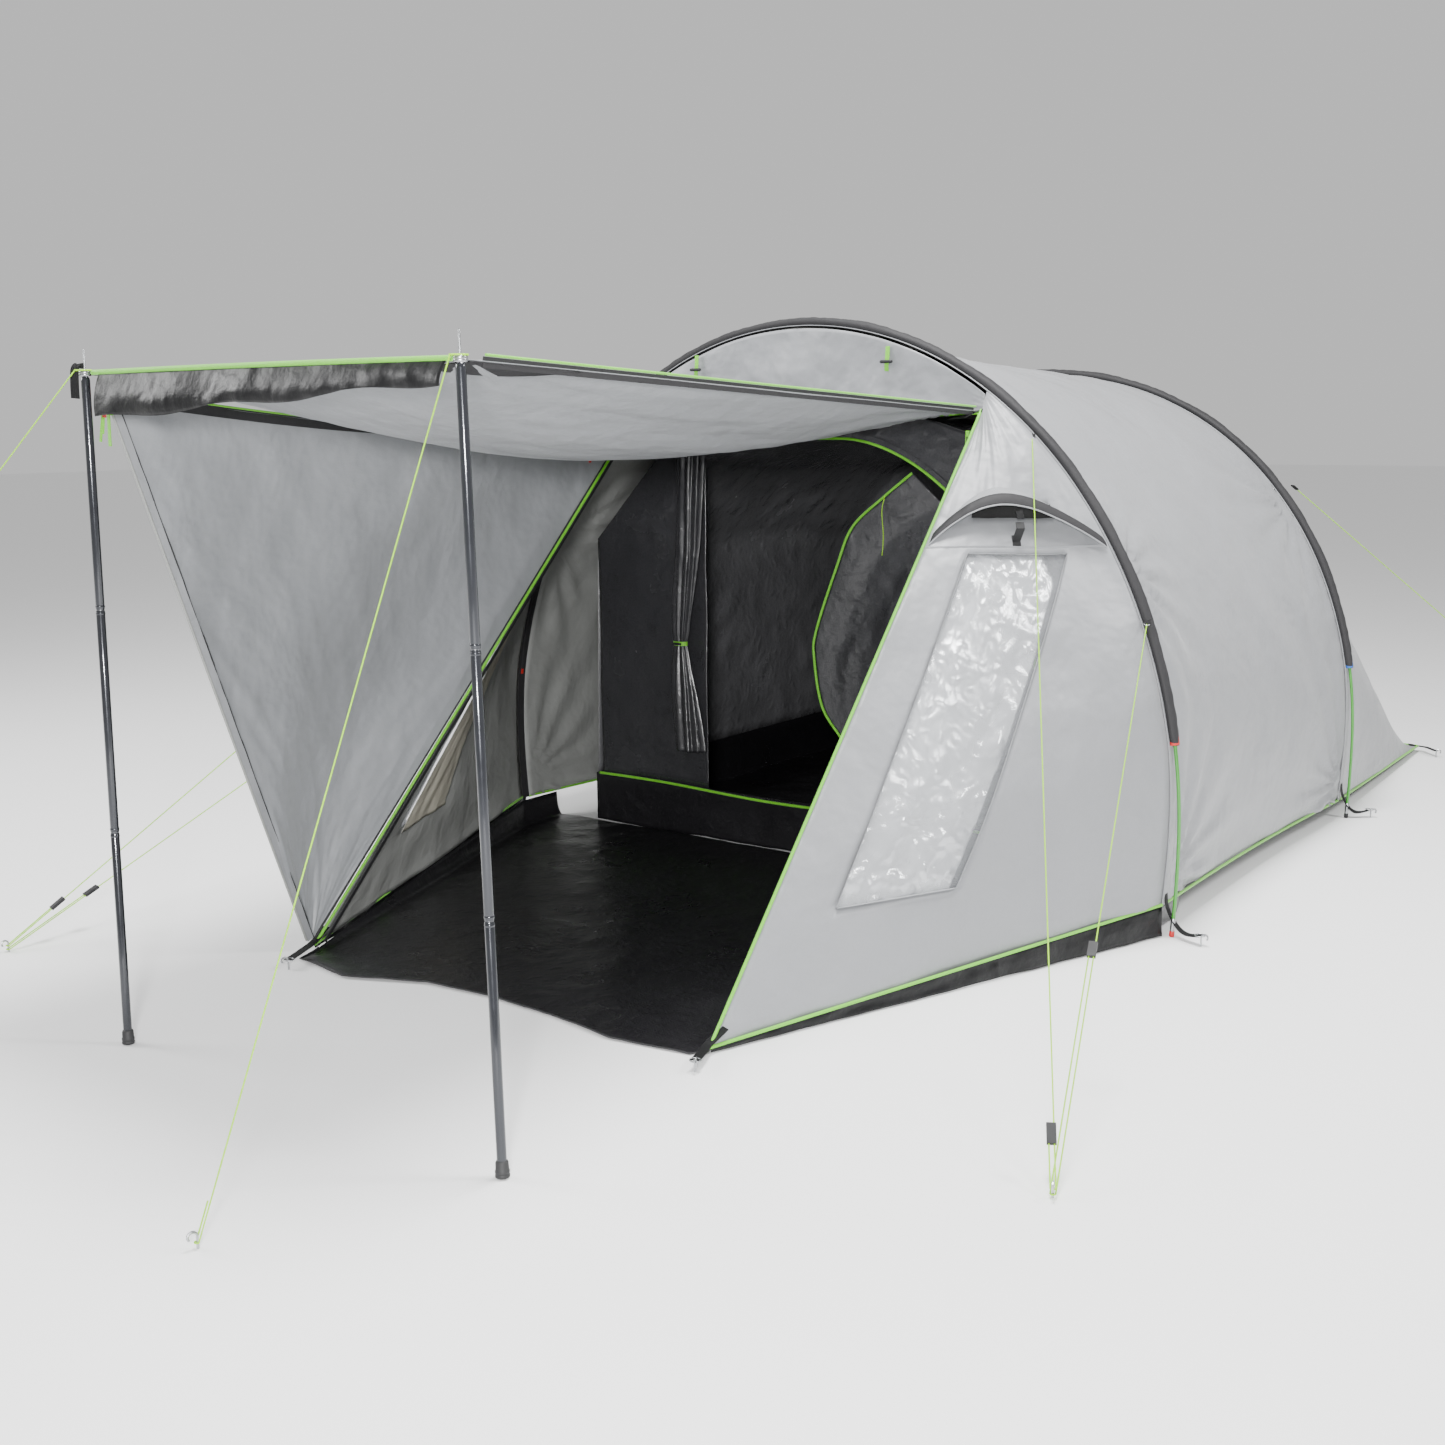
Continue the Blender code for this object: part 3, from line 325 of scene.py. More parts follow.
def cloth(name, colour, rough, shade=0.10, weave=0.0011, weave_depth=0.00006, creases=(),
          gloss=0.0, sheen=0.0, coat=0.0, metallic=0.0, alpha=1.0, specular=0.5, grime=0.0):
    """Woven or coated cloth: thread relief, creases of several sizes, uneven colour and gloss."""
    mat = bpy.data.materials.new(name)
    mat.use_nodes = True
    tree = mat.node_tree
    shader = tree.nodes["Principled BSDF"]
    coords = add(tree, "ShaderNodeTexCoord").outputs["Object"]
    broad = add(tree, "ShaderNodeTexNoise", {"Vector": coords}, Scale=2.3, Detail=5.0,
                Roughness=0.6).outputs["Fac"]
    fine = add(tree, "ShaderNodeTexNoise", {"Vector": coords}, Scale=210.0, Detail=2.0,
               ).outputs["Fac"]
    tone = ranged(tree, broad, 1 - shade, 1 + shade)
    speck = ranged(tree, fine, 1 - shade * 0.6, 1 + shade * 0.6)
    both = add(tree, "ShaderNodeMath", {0: tone, 1: speck},
               operation="MULTIPLY").outputs[0]
    tint = add(tree, "ShaderNodeVectorMath", {"Scale": both}, operation="SCALE")
    tint.inputs[0].default_value = colour
    tree.links.new(tint.outputs[0], shader.inputs["Base Color"])

    waves = []
    for direction in ("X", "Y", "Z"):
        wave = add(tree, "ShaderNodeTexWave", {"Vector": coords}, wave_type="BANDS",
                   bands_direction=direction, Scale=0.314 / weave, Distortion=0.6, Detail=1.0)
        waves.append(wave.outputs["Fac"])
    threads = add(tree, "ShaderNodeMath", {0: waves[0], 1: waves[1]}, operation="ADD").outputs[0]
    threads = add(tree, "ShaderNodeMath", {0: threads, 1: waves[2]}, operation="ADD").outputs[0]
    bump = add(tree, "ShaderNodeBump", {"Height": threads}, Strength=0.5, Distance=weave_depth)
    height = bump.outputs["Normal"]
    for scale, depth, kind in creases:
        warp = add(tree, "ShaderNodeTexNoise", {"Vector": coords}, Scale=scale * 0.6,
                   Detail=1.0).outputs["Color"]
        moved = add(tree, "ShaderNodeVectorMath", {0: warp}, operation="SCALE", Scale=0.5 / scale)
        moved = add(tree, "ShaderNodeVectorMath", {0: coords, 1: moved.outputs[0]},
                    operation="ADD").outputs[0]
        if kind == "ridge":
            tex = add(tree, "ShaderNodeTexNoise", {"Vector": moved}, noise_type="RIDGED_MULTIFRACTAL",
                      Scale=scale, Detail=3.0, Roughness=0.5)
        elif kind == "facet":
            tex = add(tree, "ShaderNodeTexVoronoi", {"Vector": moved}, feature="F1", Scale=scale)
        else:
            tex = add(tree, "ShaderNodeTexNoise", {"Vector": moved}, Scale=scale, Detail=4.0)
        value = tex.outputs["Distance"] if kind == "facet" else tex.outputs["Fac"]
        bump = add(tree, "ShaderNodeBump", {"Height": value, "Normal": height}, Strength=1.0,
                   Distance=depth)
        height = bump.outputs["Normal"]
    tree.links.new(height, shader.inputs["Normal"])
    wear = ranged(tree, broad, max(rough - gloss - 0.05, 0.05), min(rough + 0.05, 1.0))
    tree.links.new(wear, shader.inputs["Roughness"])
    shader.inputs["Metallic"].default_value = metallic
    shader.inputs["Sheen Weight"].default_value = sheen
    shader.inputs["Coat Weight"].default_value = coat
    shader.inputs["Coat Roughness"].default_value = 0.22
    shader.inputs["Alpha"].default_value = alpha
    shader.inputs["Specular IOR Level"].default_value = specular
    return mat


def hard(name, colour, rough, metallic=0.0, grain=900.0, depth=0.00002, shade=0.08, coat=0.0,
         alpha=1.0):
    """Moulded plastic, paint or metal: fine grain, uneven gloss and rubbed spots."""
    mat = bpy.data.materials.new(name)
    mat.use_nodes = True
    tree = mat.node_tree
    shader = tree.nodes["Principled BSDF"]
    coords = add(tree, "ShaderNodeTexCoord").outputs["Object"]
    broad = add(tree, "ShaderNodeTexNoise", {"Vector": coords}, Scale=14.0, Detail=6.0,
                Roughness=0.65).outputs["Fac"]
    fine = add(tree, "ShaderNodeTexNoise", {"Vector": coords}, Scale=grain, Detail=2.0).outputs["Fac"]
    tone = ranged(tree, broad, 1 - shade, 1 + shade)
    tint = add(tree, "ShaderNodeVectorMath", {"Scale": tone}, operation="SCALE")
    tint.inputs[0].default_value = colour
    tree.links.new(tint.outputs[0], shader.inputs["Base Color"])
    gloss = ranged(tree, broad, max(rough - 0.06, 0.03), rough + 0.08)
    tree.links.new(gloss, shader.inputs["Roughness"])
    bump = add(tree, "ShaderNodeBump", {"Height": fine}, Strength=0.6, Distance=depth)
    tree.links.new(bump.outputs["Normal"], shader.inputs["Normal"])
    shader.inputs["Metallic"].default_value = metallic
    shader.inputs["Coat Weight"].default_value = coat
    shader.inputs["Alpha"].default_value = alpha
    return mat


def make_materials():
    soft = ((3.0, 0.040, "noise"), (5.0, 0.0080, "ridge"), (22.0, 0.0012, "noise"))
    crisp = ((8.0, 0.0120, "ridge"), (26.0, 0.0040, "ridge"), (80.0, 0.0012, "noise"))
    return {
        "fly": cloth("fly_cloth", (0.235, 0.241, 0.252), 0.40, 0.03, creases=soft, sheen=0.15),
        "fly_under": cloth("fly_cloth_underside", (0.25, 0.255, 0.245), 0.55, 0.04, creases=soft),
        "canopy": cloth("canopy_cloth_underside", (0.22, 0.228, 0.24), 0.42, 0.04,
                        creases=((4.5, 0.020, "noise"), (10.0, 0.004, "ridge"),
                                 (30.0, 0.0012, "noise")), sheen=0.1),
        "screen": cloth("windbreak_cloth", (0.235, 0.243, 0.255), 0.42, 0.04, creases=soft, sheen=0.2),
        "charcoal": cloth("charcoal_cloth", (0.026, 0.0255, 0.027), 0.62, 0.10, weave=0.0016,
                          weave_depth=0.0002, creases=((40.0, 0.0012, "noise"),),
                          specular=0.25),
        "black": cloth("black_coated_cloth", (0.006, 0.006, 0.0065), 0.46, 0.15, creases=crisp,
                       specular=0.22, gloss=0.1),
        "inner": cloth("inner_tent_cloth", (0.030, 0.030, 0.033), 0.30, 0.20, creases=crisp,
                       gloss=0.10, coat=0.4),
        # The bedroom body's copy of the inner tent cloth, four times brighter than the front wall's:
        # painted light on the inner walls, which the lamps barely reach.
        "inner_painted_light": cloth("inner_tent_cloth_painted_light", (0.120, 0.120, 0.126), 0.26, 0.20, creases=crisp,
                        gloss=0.10, coat=0.5),
        "ground": cloth("groundsheet_cloth", (0.010, 0.0095, 0.011), 0.36, 0.20,
                        creases=((14.0, 0.0040, "ridge"), (45.0, 0.0016, "ridge"),
                                 (120.0, 0.0006, "ridge")), gloss=0.08, coat=0.12),
        "silver": cloth("silver_cloth", (0.62, 0.63, 0.64), 0.30, 0.05,
                        creases=((11.0, 0.024, "ridge"), (30.0, 0.008, "ridge")), gloss=0.1,
                        metallic=0.75),
        "beige": cloth("window_lining", (0.42, 0.40, 0.33), 0.6, 0.04, creases=soft),
        "lime": cloth("lime_piping", (0.13, 0.50, 0.006), 0.45, 0.10, weave=0.0014,
                      weave_depth=0.0003, sheen=0.2),
        "lime_cord": cloth("lime_braid", (0.32, 0.66, 0.002), 0.45, 0.08, weave=0.0016,
                           weave_depth=0.0006),
        "webbing": cloth("black_webbing", (0.008, 0.008, 0.0085), 0.62, 0.20, weave=0.0022,
                         weave_depth=0.0006, specular=0.2),
        "lime_webbing": cloth("lime_webbing", (0.14, 0.50, 0.006), 0.5, 0.12, weave=0.0022,
                              weave_depth=0.0005, sheen=0.2),
        "red": cloth("red_webbing", (0.55, 0.020, 0.015), 0.5, 0.12, weave=0.0018,
                     weave_depth=0.0004),
        "blue": cloth("blue_webbing", (0.02, 0.11, 0.42), 0.5, 0.12, weave=0.0018,
                      weave_depth=0.0004),
        "mesh": cloth("vent_mesh", (0.012, 0.012, 0.012), 0.7, 0.3, weave=0.0018,
                      weave_depth=0.0010),
        "glassfibre": hard("green_glassfibre", (0.035, 0.24, 0.018), 0.30, coat=0.5),
        "pole": hard("anthracite_paint", (0.026, 0.028, 0.034), 0.20, metallic=0.55, coat=0.6),
        "rubber": hard("black_rubber", (0.018, 0.018, 0.019), 0.60, depth=0.00008),
        "plastic": hard("black_plastic", (0.008, 0.008, 0.009), 0.60, depth=0.00005),
        "red_plastic": hard("red_plastic", (0.50, 0.012, 0.010), 0.35),
        "steel": hard("galvanised_wire", (0.42, 0.43, 0.44), 0.30, metallic=1.0, shade=0.2),
        "film": hard("clear_film", (0.60, 0.62, 0.65), 0.07, alpha=0.14, grain=30.0, depth=0.002),
    }


# ---- mesh building --------------------------------------------------------------------------
def new_object(name, data):
    obj = bpy.data.objects.new(name, data)
    bpy.context.scene.collection.objects.link(obj)
    return obj


def normals_of(grid):
    normal = np.cross(np.gradient(grid, axis=0), np.gradient(grid, axis=1))
    return normal / np.maximum(np.linalg.norm(normal, axis=2, keepdims=True), 1e-12)


def sheet(name, grid, mats, body="tent", replaces=(), thickness=0.0010, keep=None,
          relief=None, held=None, patch=None):
    """A sewn sheet over a grid of points: relief lifts it, keep cuts holes, patch picks slots."""
    grid = np.asarray(grid, float)
    if relief is not None:
        grid = grid + normals_of(grid) * relief[..., None]
    rows, cols = grid.shape[:2]
    faces, slots = [], []
    for i in range(rows - 1):
        for j in range(cols - 1):
            if keep is None or keep(i, j):
                faces.append((i * cols + j, (i + 1) * cols + j, (i + 1) * cols + j + 1,
                              i * cols + j + 1))
                slots.append(0 if patch is None else patch(i, j))
    used = np.unique(np.array(faces))
    place = np.full(rows * cols, -1)
    place[used] = np.arange(len(used))
    mesh = bpy.data.meshes.new(name)
    points = grid.reshape(-1, 3)[used]
    mesh.from_pydata(points.tolist(), [], [tuple(int(place[k]) for k in f) for f in faces])
    for mat in mats:
        mesh.materials.append(mat)
    mesh.polygons.foreach_set("material_index", slots)
    mesh.shade_smooth()
    obj = new_object(name, mesh)
    solid = obj.modifiers.new("thickness", "SOLIDIFY")
    solid.thickness = thickness
    solid.offset = 0.0
    if patch is None and len(mats) > 1:
        solid.material_offset = 1
        solid.material_offset_rim = 0
    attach(obj, body)
    if replaces:
        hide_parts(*replaces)
    if held:
        cell = 0.5 * np.linalg.norm(np.cross(grid[1:, 1:] - grid[:-1, :-1],
                                             grid[1:, :-1] - grid[:-1, 1:]), axis=2)
        area = sum(cell[i, j] for i in range(rows - 1) for j in range(cols - 1)
                   if keep is None or keep(i, j))
        width = np.linalg.norm(np.diff(grid, axis=0), axis=2).sum(0).max()
        length = np.linalg.norm(np.diff(grid, axis=1), axis=2).sum(1).max()
        if area < 0.31 * width * length:
            width = 2 * area / length  # a tapering patch is cut as a triangle
        area = min(area, width * length)
    return obj


def tube(name, path, radius, mat, body="tent", replaces=(), sides=16, flat=1.0,
         reference=None, ends=True, wobble=0.0):
    """A round or flattened tube or strap along a path; radius may vary from point to point."""
    path = np.asarray(path, float)
    radius = np.broadcast_to(np.asarray(radius, float), (len(path),))
    tangent = np.gradient(path, axis=0)
    tangent /= np.maximum(np.linalg.norm(tangent, axis=1, keepdims=True), 1e-12)
    if reference is None:
        spread = np.abs(tangent).sum(0)
        reference = np.eye(3)[int(np.argmin(spread))]
    side = np.asarray(reference, float) - tangent * (tangent @ np.asarray(reference, float))[:, None]
    side /= np.maximum(np.linalg.norm(side, axis=1, keepdims=True), 1e-12)
    up = np.cross(tangent, side)
    turn = np.linspace(0, 2 * math.pi, sides, endpoint=False)
    ring = (path[:, None] + side[:, None] * (np.cos(turn)[:, None] * radius[:, None, None])
            + up[:, None] * (np.sin(turn)[:, None] * radius[:, None, None] * flat))
    if wobble:
        n = ground_noise(np.arange(len(path))[:, None] * 0.35, turn[None] * 0.8, 7)
        ring += (ring - path[:, None]) * (n * wobble)[..., None]
    count = len(path)
    faces = [(k * sides + s, k * sides + (s + 1) % sides, (k + 1) * sides + (s + 1) % sides,
              (k + 1) * sides + s) for k in range(count - 1) for s in range(sides)]
    if ends:
        faces += [tuple(range(sides - 1, -1, -1)), tuple(range((count - 1) * sides, count * sides))]
    mesh = bpy.data.meshes.new(name)
    mesh.from_pydata(ring.reshape(-1, 3).tolist(), [], faces)
    mesh.materials.append(mat)
    mesh.shade_smooth()
    mesh.set_sharp_from_angle(angle=math.radians(50))
    obj = new_object(name, mesh)
    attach(obj, body)
    if replaces:
        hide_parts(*replaces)
    return obj


def strap(name, path, width, thick, mat, across, body="tent"):
    """Flat webbing along a path: width across it, with square edges."""
    path = np.asarray(path, float)
    tangent = np.gradient(path, axis=0)
    tangent /= np.maximum(np.linalg.norm(tangent, axis=1, keepdims=True), 1e-12)
    across = np.broadcast_to(np.asarray(across, float), path.shape)
    side = across - tangent * np.sum(across * tangent, axis=1, keepdims=True)
    side /= np.maximum(np.linalg.norm(side, axis=1, keepdims=True), 1e-12)
    up = np.cross(tangent, side)
    points = []
    for a, b in ((-1, -1), (1, -1), (1, 1), (-1, 1)):
        points.append(path + side * a * width / 2 + up * b * thick / 2)
    points = np.stack(points, 1).reshape(-1, 3)
    count = len(path)
    faces = [(4 * k + s, 4 * k + (s + 1) % 4, 4 * k + 4 + (s + 1) % 4, 4 * k + 4 + s)
             for k in range(count - 1) for s in range(4)]
    faces += [(3, 2, 1, 0), tuple(range(4 * count - 4, 4 * count))]
    mesh = bpy.data.meshes.new(name)
    mesh.from_pydata(points.tolist(), [], faces)
    mesh.materials.append(mat)
    obj = new_object(name, mesh)
    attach(obj, body)
    return obj


def smooth_path(points, count=24):
    """A Catmull-Rom curve through the points."""
    p = np.asarray(points, float)
    p = np.vstack([2 * p[0] - p[1], p, 2 * p[-1] - p[-2]])
    out = []
    for t in np.linspace(0, len(p) - 3 - 1e-9, count):
        i, f = int(t), t - int(t)
        a, b, c, d = p[i:i + 4]
        out.append(0.5 * (2 * b + (c - a) * f + (2 * a - 5 * b + 4 * c - d) * f * f
                          + (3 * b - a - 3 * c + d) * f ** 3))
    return np.array(out)


def flipped(points, sign):
    return np.asarray(points, float) * np.array([sign, 1.0, 1.0])


# ---- hoops, sleeves and flysheet ------------------------------------------------------------
def fly_arc(hoop, y, low_z, count):
    start = share_at(hoop, low_z, 2, INSET)
    arc = np.array([hoop_point(hoop, s, INSET) for s in np.linspace(start, 2 - start, count)])
    arc[:, 1] = y
    return arc


def outward(points):
    """Unit directions from the tent's middle line out through the points, level with y."""
    out = np.array(points, float) - np.array([0.0, 0.0, 0.55])
    out[..., 1] = 0
    return out / np.linalg.norm(out, axis=-1, keepdims=True)


def build_hoops(m):
    for hoop, tip in (("front", "red"), ("rear", "blue")):
        end = share_at(hoop, SLEEVE_END_Z, 2)
        path = np.array([hoop_point(hoop, s) for s in np.linspace(0, 2, 261)])
        path[0, 2] = path[-1, 2] = 0.001
        radius = np.full(len(path), POLE_RADIUS)
        tube(hoop + "_pole", path, radius, m["glassfibre"],
             replaces=(hoop + "_hoop_pole",))
        centre = np.array([hoop_point(hoop, s) for s in np.linspace(end, 2 - end, 421)])
        sides = 28
        turn = np.linspace(0, 2 * math.pi, sides, endpoint=False)
        out = outward(centre)
        along = np.linspace(0, 1, len(centre))
        pucker = ground_noise(along[:, None] * 150, np.cos(turn)[None] * 1.2, 21)
        slack = ground_noise(along[:, None] * 22, np.sin(turn)[None] * 0.8 + 5, 22)
        tighten = 1 - 0.25 * np.exp(-np.minimum(along, 1 - along)[:, None] / 0.006)
        wide = 0.0172 * tighten * (1 + 0.06 * slack)
        deep = 0.0128 * tighten * (1 + 0.18 * slack + 0.12 * pucker)
        grid = (centre[:, None] + np.array([0, 1.0, 0]) * (np.cos(turn) * wide)[..., None]
                + out[:, None] * (np.sin(turn) * deep)[..., None])
        grid = np.concatenate([grid, grid[:, :1]], axis=1)
        obj = sheet(hoop + "_sleeve", grid[:, ::-1], [m["charcoal"]],
                    replaces=(hoop + "_hoop_sleeve",), thickness=0.0010, held="stretched")
        weld(obj)
        # The coloured pockets at the sleeve's ends.
        for sign in (-1, 1):
            ends = slice(0, 26) if sign < 0 else slice(len(centre) - 26, len(centre))
            part = centre[ends]
            half = np.full(len(part), 0.0150)
            tube(hoop + "_pocket_" + ("right" if sign < 0 else "left"), part, half, m[tip],
                 sides=20, reference=(0, 1, 0), flat=0.80, wobble=0.05)
        seam = fly_arc(hoop, 0.0, 0.086 if hoop == "front" else 0.060, 200)
        band = seam[None] + np.linspace(-0.0205, 0.0185, 7)[:, None, None] * np.array([0, 1.0, 0])
        band = band + outward(seam)[None] * 0.0015
        band[:, :, 1] += HOOPS[hoop][5]
        sheet(hoop + "_hoop_seam", band, [m["fly"], m["charcoal"]], thickness=0.0022,
              held="stretched")
        for side, flip in (("right", 1), ("left", -1)):
            foot_set(m, hoop, side, flip)


def weld(obj, distance=1e-5):
    """Closes the seam where a grid's first and last columns meet."""
    shape = bmesh.new()
    shape.from_mesh(obj.data)
    bmesh.ops.remove_doubles(shape, verts=shape.verts, dist=distance)
    shape.to_mesh(obj.data)
    shape.free()


def foot_set(m, hoop, side, flip):
    """At a hoop's foot: the tip, the steel pin ring and the webbing out to the peg."""
    foot = hoop_point(hoop, 0.0) * np.array([flip, 1, 1])
    tip = "red_plastic" if hoop == "front" else "plastic"
    rise = hoop_point(hoop, 0.02) * np.array([flip, 1, 1]) - foot
    rise /= np.linalg.norm(rise)
    name = hoop + "_foot_" + side
    tube(name + "_ferrule", [foot + rise * h for h in (0.010, 0.012, 0.050, 0.052)],
         [0.0056, 0.0062, 0.0062, 0.0052], m["steel"])
    tube(name + "_tip", [foot + rise * h for h in (0.001, 0.002, 0.016, 0.018)],
         [0.0060, 0.0070, 0.0070, 0.0050], m[tip])
    hem = hoop_point(hoop, share_at(hoop, 0.088, 2, INSET), INSET) * np.array([flip, 1, 1])
    peg_xy = {"front": (1.262, -0.035), "rear": (1.240, 1.655)}[hoop]
    peg_at = np.array([peg_xy[0] * flip, peg_xy[1], 0.028])
    path = smooth_path([hem + [0.004 * flip, 0, 0.03], hem + [0.010 * flip, 0, -0.010],
                        foot + np.array([0.012 * flip, 0.0, 0.034]),
                        (foot + peg_at) / 2 + [0, 0, 0.006], peg_at], 18)
    strap(name + "_webbing", path, 0.019, 0.0016, m["webbing"], (0, 1, 0.1))
    loop = [peg_at + np.array([0.013 * math.cos(t) - 0.004 * flip, 0.013 * math.sin(t), 0.001])
            for t in np.linspace(0, 2 * math.pi, 25)]
    tube(name + "_ring", loop, 0.0016, m["steel"], sides=8, ends=False)


def build_fly(m):
    rows, cols = 70, 240
    front = fly_arc("front", SLEEVE_HALF_WIDTH + GAP - 0.004, 0.088, cols)
    rear = fly_arc("rear", REAR_HOOP_Y - SLEEVE_HALF_WIDTH - GAP + 0.004, 0.060, cols)
    u = np.linspace(0, 1, rows)[:, None]
    s = np.linspace(0, 1, cols)[None, :]
    waist = (1 - 0.014 * np.sin(math.pi * u))[..., None] * np.array([1, 0, 1]) + [0, 1, 0]
    grid = (front[None] + (rear - front)[None] * u[..., None]) * waist
    length = 4.2
    edge = np.minimum(u, 1 - u)
    arc_m, deep_m = s * length + 0 * u, u * 1.57 + 0 * s
    pulls = 0.0065 * folds(arc_m / 0.075, deep_m / 0.5, 31) * np.exp(-edge * 1.57 / 0.13)
    drape = 0.0150 * ground_noise(s * 3.1 + u * 1.4, u * 1.2, 32)
    crease = (wrinkles(arc_m, deep_m, 0.55, 0.17, 0.0100, 33)
              + wrinkles(arc_m, deep_m, -0.9, 0.24, 0.0090, 36)
              + wrinkles(arc_m, deep_m, 1.45, 0.30, 0.0090, 39, 0.1))
    # Radiating tension folds from the guy tabs and the pegged feet.
    rays = 0.0
    for s0, u0, reach in ((0.02, 0.0, 0.35), (0.98, 0.0, 0.35), (0.02, 1.0, 0.35),
                          (0.98, 1.0, 0.35), (0.25, 1.0, 0.25), (0.75, 1.0, 0.25),
                          (0.21, 0.0, 0.22), (0.79, 0.0, 0.22)):
        ds, du = (s - s0) * 2.6, (u - u0)
        far = np.hypot(ds, du)
        angle = np.arctan2(du, ds)
        rays = rays + 0.0090 * np.sin(angle * 17 + s0 * 9) * np.exp(-((far / reach) ** 2)) \
            * np.clip(far / 0.06, 0, 1)
    relief = (pulls + drape + crease + rays) * np.clip(edge / 0.02, 0.15, 1)
    sheet("fly_panel", grid, [m["fly"], m["fly_under"]], replaces=("fly_tunnel",),
          relief=-relief, held="stretched")

    cols = 210
    arc = fly_arc("rear", REAR_HOOP_Y + SLEEVE_HALF_WIDTH + GAP - 0.004, 0.060, cols)
    place = np.linspace(0, 28, cols)
    along = np.abs(place - 14) / 14
    across = np.where(along > 0.5, REAR_EDGE_HALF - 0.10 * (1 - along) / 0.5,
                      (REAR_EDGE_HALF - 0.10) * along / 0.5)
    edge_line = np.stack([np.where(place <= 14, 1, -1) * across,
                          REAR_EDGE_Y + 0.03 * (1 - along), np.full(cols, 0.022)], 1)
    rows = 60
    u = np.linspace(0, 1, rows)[:, None]
    s = np.linspace(0, 1, cols)[None, :]
    grid = arc[None] + (edge_line - arc)[None] * u[..., None]
    grid[..., 2] -= 0.030 * np.sin(math.pi * u) * np.clip(grid[..., 2], 0, 1)
    relief = (0.0110 * ground_noise(s * 4.4, u * 1.4, 41)
              + wrinkles(s * 4.1, u * 1.5, 1.2, 0.18, 0.0090, 42)
              + 0.0040 * folds(s * 14, u * 0.8, 43) * np.exp(-np.minimum(u, 1 - u) / 0.15))
    relief = relief * np.clip(np.minimum(u, 1 - u) / 0.03, 0.1, 1)
    sheet("fly_back", grid, [m["fly"], m["fly_under"]], replaces=("fly_rear",),
          relief=-relief, held="stretched")

    # Lime piping along the bottom hem, from the front hoop round the back.
    for side, flip in (("right", 1), ("left", -1)):
        index = 0 if side == "right" else -1
        start = fly_arc("front", 0.015, 0.088, 3)[index]
        stop = fly_arc("rear", 1.59, 0.060, 3)[index]
        hem = np.array([start + (stop - start) * t for t in np.linspace(0, 1, 40)])
        hem[:, 0] *= 1 - 0.014 * np.sin(math.pi * np.linspace(0, 1, 40))
        tube("hem_piping_side_" + side, hem + np.array([0.001 * flip, 0, 0]), PIPING_RADIUS, m["lime"],
             sides=10)
        tail = np.linspace(grid[0, index], grid[-1, index], 30)
        tail[:, 2] = grid[:, index, 2][np.linspace(0, rows - 1, 30).astype(int)]
        tube("hem_piping_back_" + side, tail + np.array([0.001 * flip, 0, 0]), PIPING_RADIUS,
             m["lime"], sides=10)
        corner = np.array([1.085 * flip, 2.930, 0.022])
        peg_at = np.array([1.178 * flip, 2.840, 0.026])
        path = smooth_path([corner + [-0.03 * flip, -0.02, 0.006], corner + [0.006 * flip, 0, 0],
                            (corner + peg_at) / 2 + [0, 0, 0.004], peg_at], 14)
        strap("rear_corner_webbing_" + side, path, 0.019, 0.0016, m["webbing"], (0.3, 1, 0))
    tube("hem_piping_rear", grid[-1] + np.array([0, 0.001, 0.0]), PIPING_RADIUS, m["lime"],
         sides=10)

    # The gable over the canopy, with its two toggled straps.
    span = np.linspace(0.600, -0.600, 90)
    top = []
    for x in span:
        share = share_at("front", abs(x), 0, 0.022)
        top.append(hoop_point("front", share, 0.022)[2] + 0.004)
    top = np.array(top)
    level = np.linspace(0, 1, 26)[:, None]
    grid = np.zeros((26, 90, 3))
    grid[..., 0] = span[None]
    grid[..., 1] = -0.0215
    grid[..., 2] = 1.384 + (top[None] - 1.384) * level
    a = np.linspace(0, 1, 90)[None]
    relief = (0.0065 * ground_noise(a * 6, level * 1.4, 51)
              + 0.0080 * folds(a * 13, level * 1.2, 52))
    relief = np.minimum(relief, 0.005)
    sheet("gable_panel", grid, [m["fly"]], replaces=("porch_gable",), relief=relief,
          held="stretched")
    for k, (x, z) in enumerate(((-0.364, 1.514), (0.299, 1.521))):
        path = [(x, -0.030, z + 0.042), (x + 0.001, -0.034, z + 0.010), (x, -0.036, z - 0.012),
                (x - 0.001, -0.033, z - 0.026)]
        strap(f"gable_strap_{k}", smooth_path(path, 16), 0.013, 0.0014, m["lime_webbing"],
              (1, 0, 0))
        bar = [(x - 0.019, -0.0385, z), (x - 0.016, -0.0385, z), (x + 0.016, -0.0385, z),
               (x + 0.019, -0.0385, z)]
        tube(f"gable_toggle_{k}", bar, [0.0034, 0.0044, 0.0044, 0.0034], m["plastic"])


# ---- porch walls ----------------------------------------------------------------------------
TABLE_U = np.linspace(-0.02, 1.0, 69)
TABLE_V = np.linspace(-0.01, 1.0, 122)
WALL_TABLE = np.array([[wall_point(u, v) for v in TABLE_V] for u in TABLE_U])
_across = np.gradient(WALL_TABLE, axis=0)
_upward = np.gradient(WALL_TABLE, axis=1)
WALL_NORMALS = np.cross(_across, _upward)
WALL_NORMALS /= np.linalg.norm(WALL_NORMALS, axis=2, keepdims=True)


def wall_line(u):
    place = np.clip((u - TABLE_U[0]) / (TABLE_U[1] - TABLE_U[0]), 0, len(TABLE_U) - 1.001)
    i = int(place)
    f = place - i
    return (WALL_TABLE[i] * (1 - f) + WALL_TABLE[i + 1] * f,
            WALL_NORMALS[i] * (1 - f) + WALL_NORMALS[i + 1] * f)


def wall_at(u, z=None, out=0.0, share=None):
    """The porch wall at a height z, or at a share of its height, moved out by a distance."""
    line, normal = wall_line(u)
    v = float(np.interp(z, line[:, 2], TABLE_V)) if share is None else share
    point = np.array([np.interp(v, TABLE_V, line[:, k]) for k in range(3)])
    push = np.array([np.interp(v, TABLE_V, normal[:, k]) for k in range(3)])
    return point + push * out


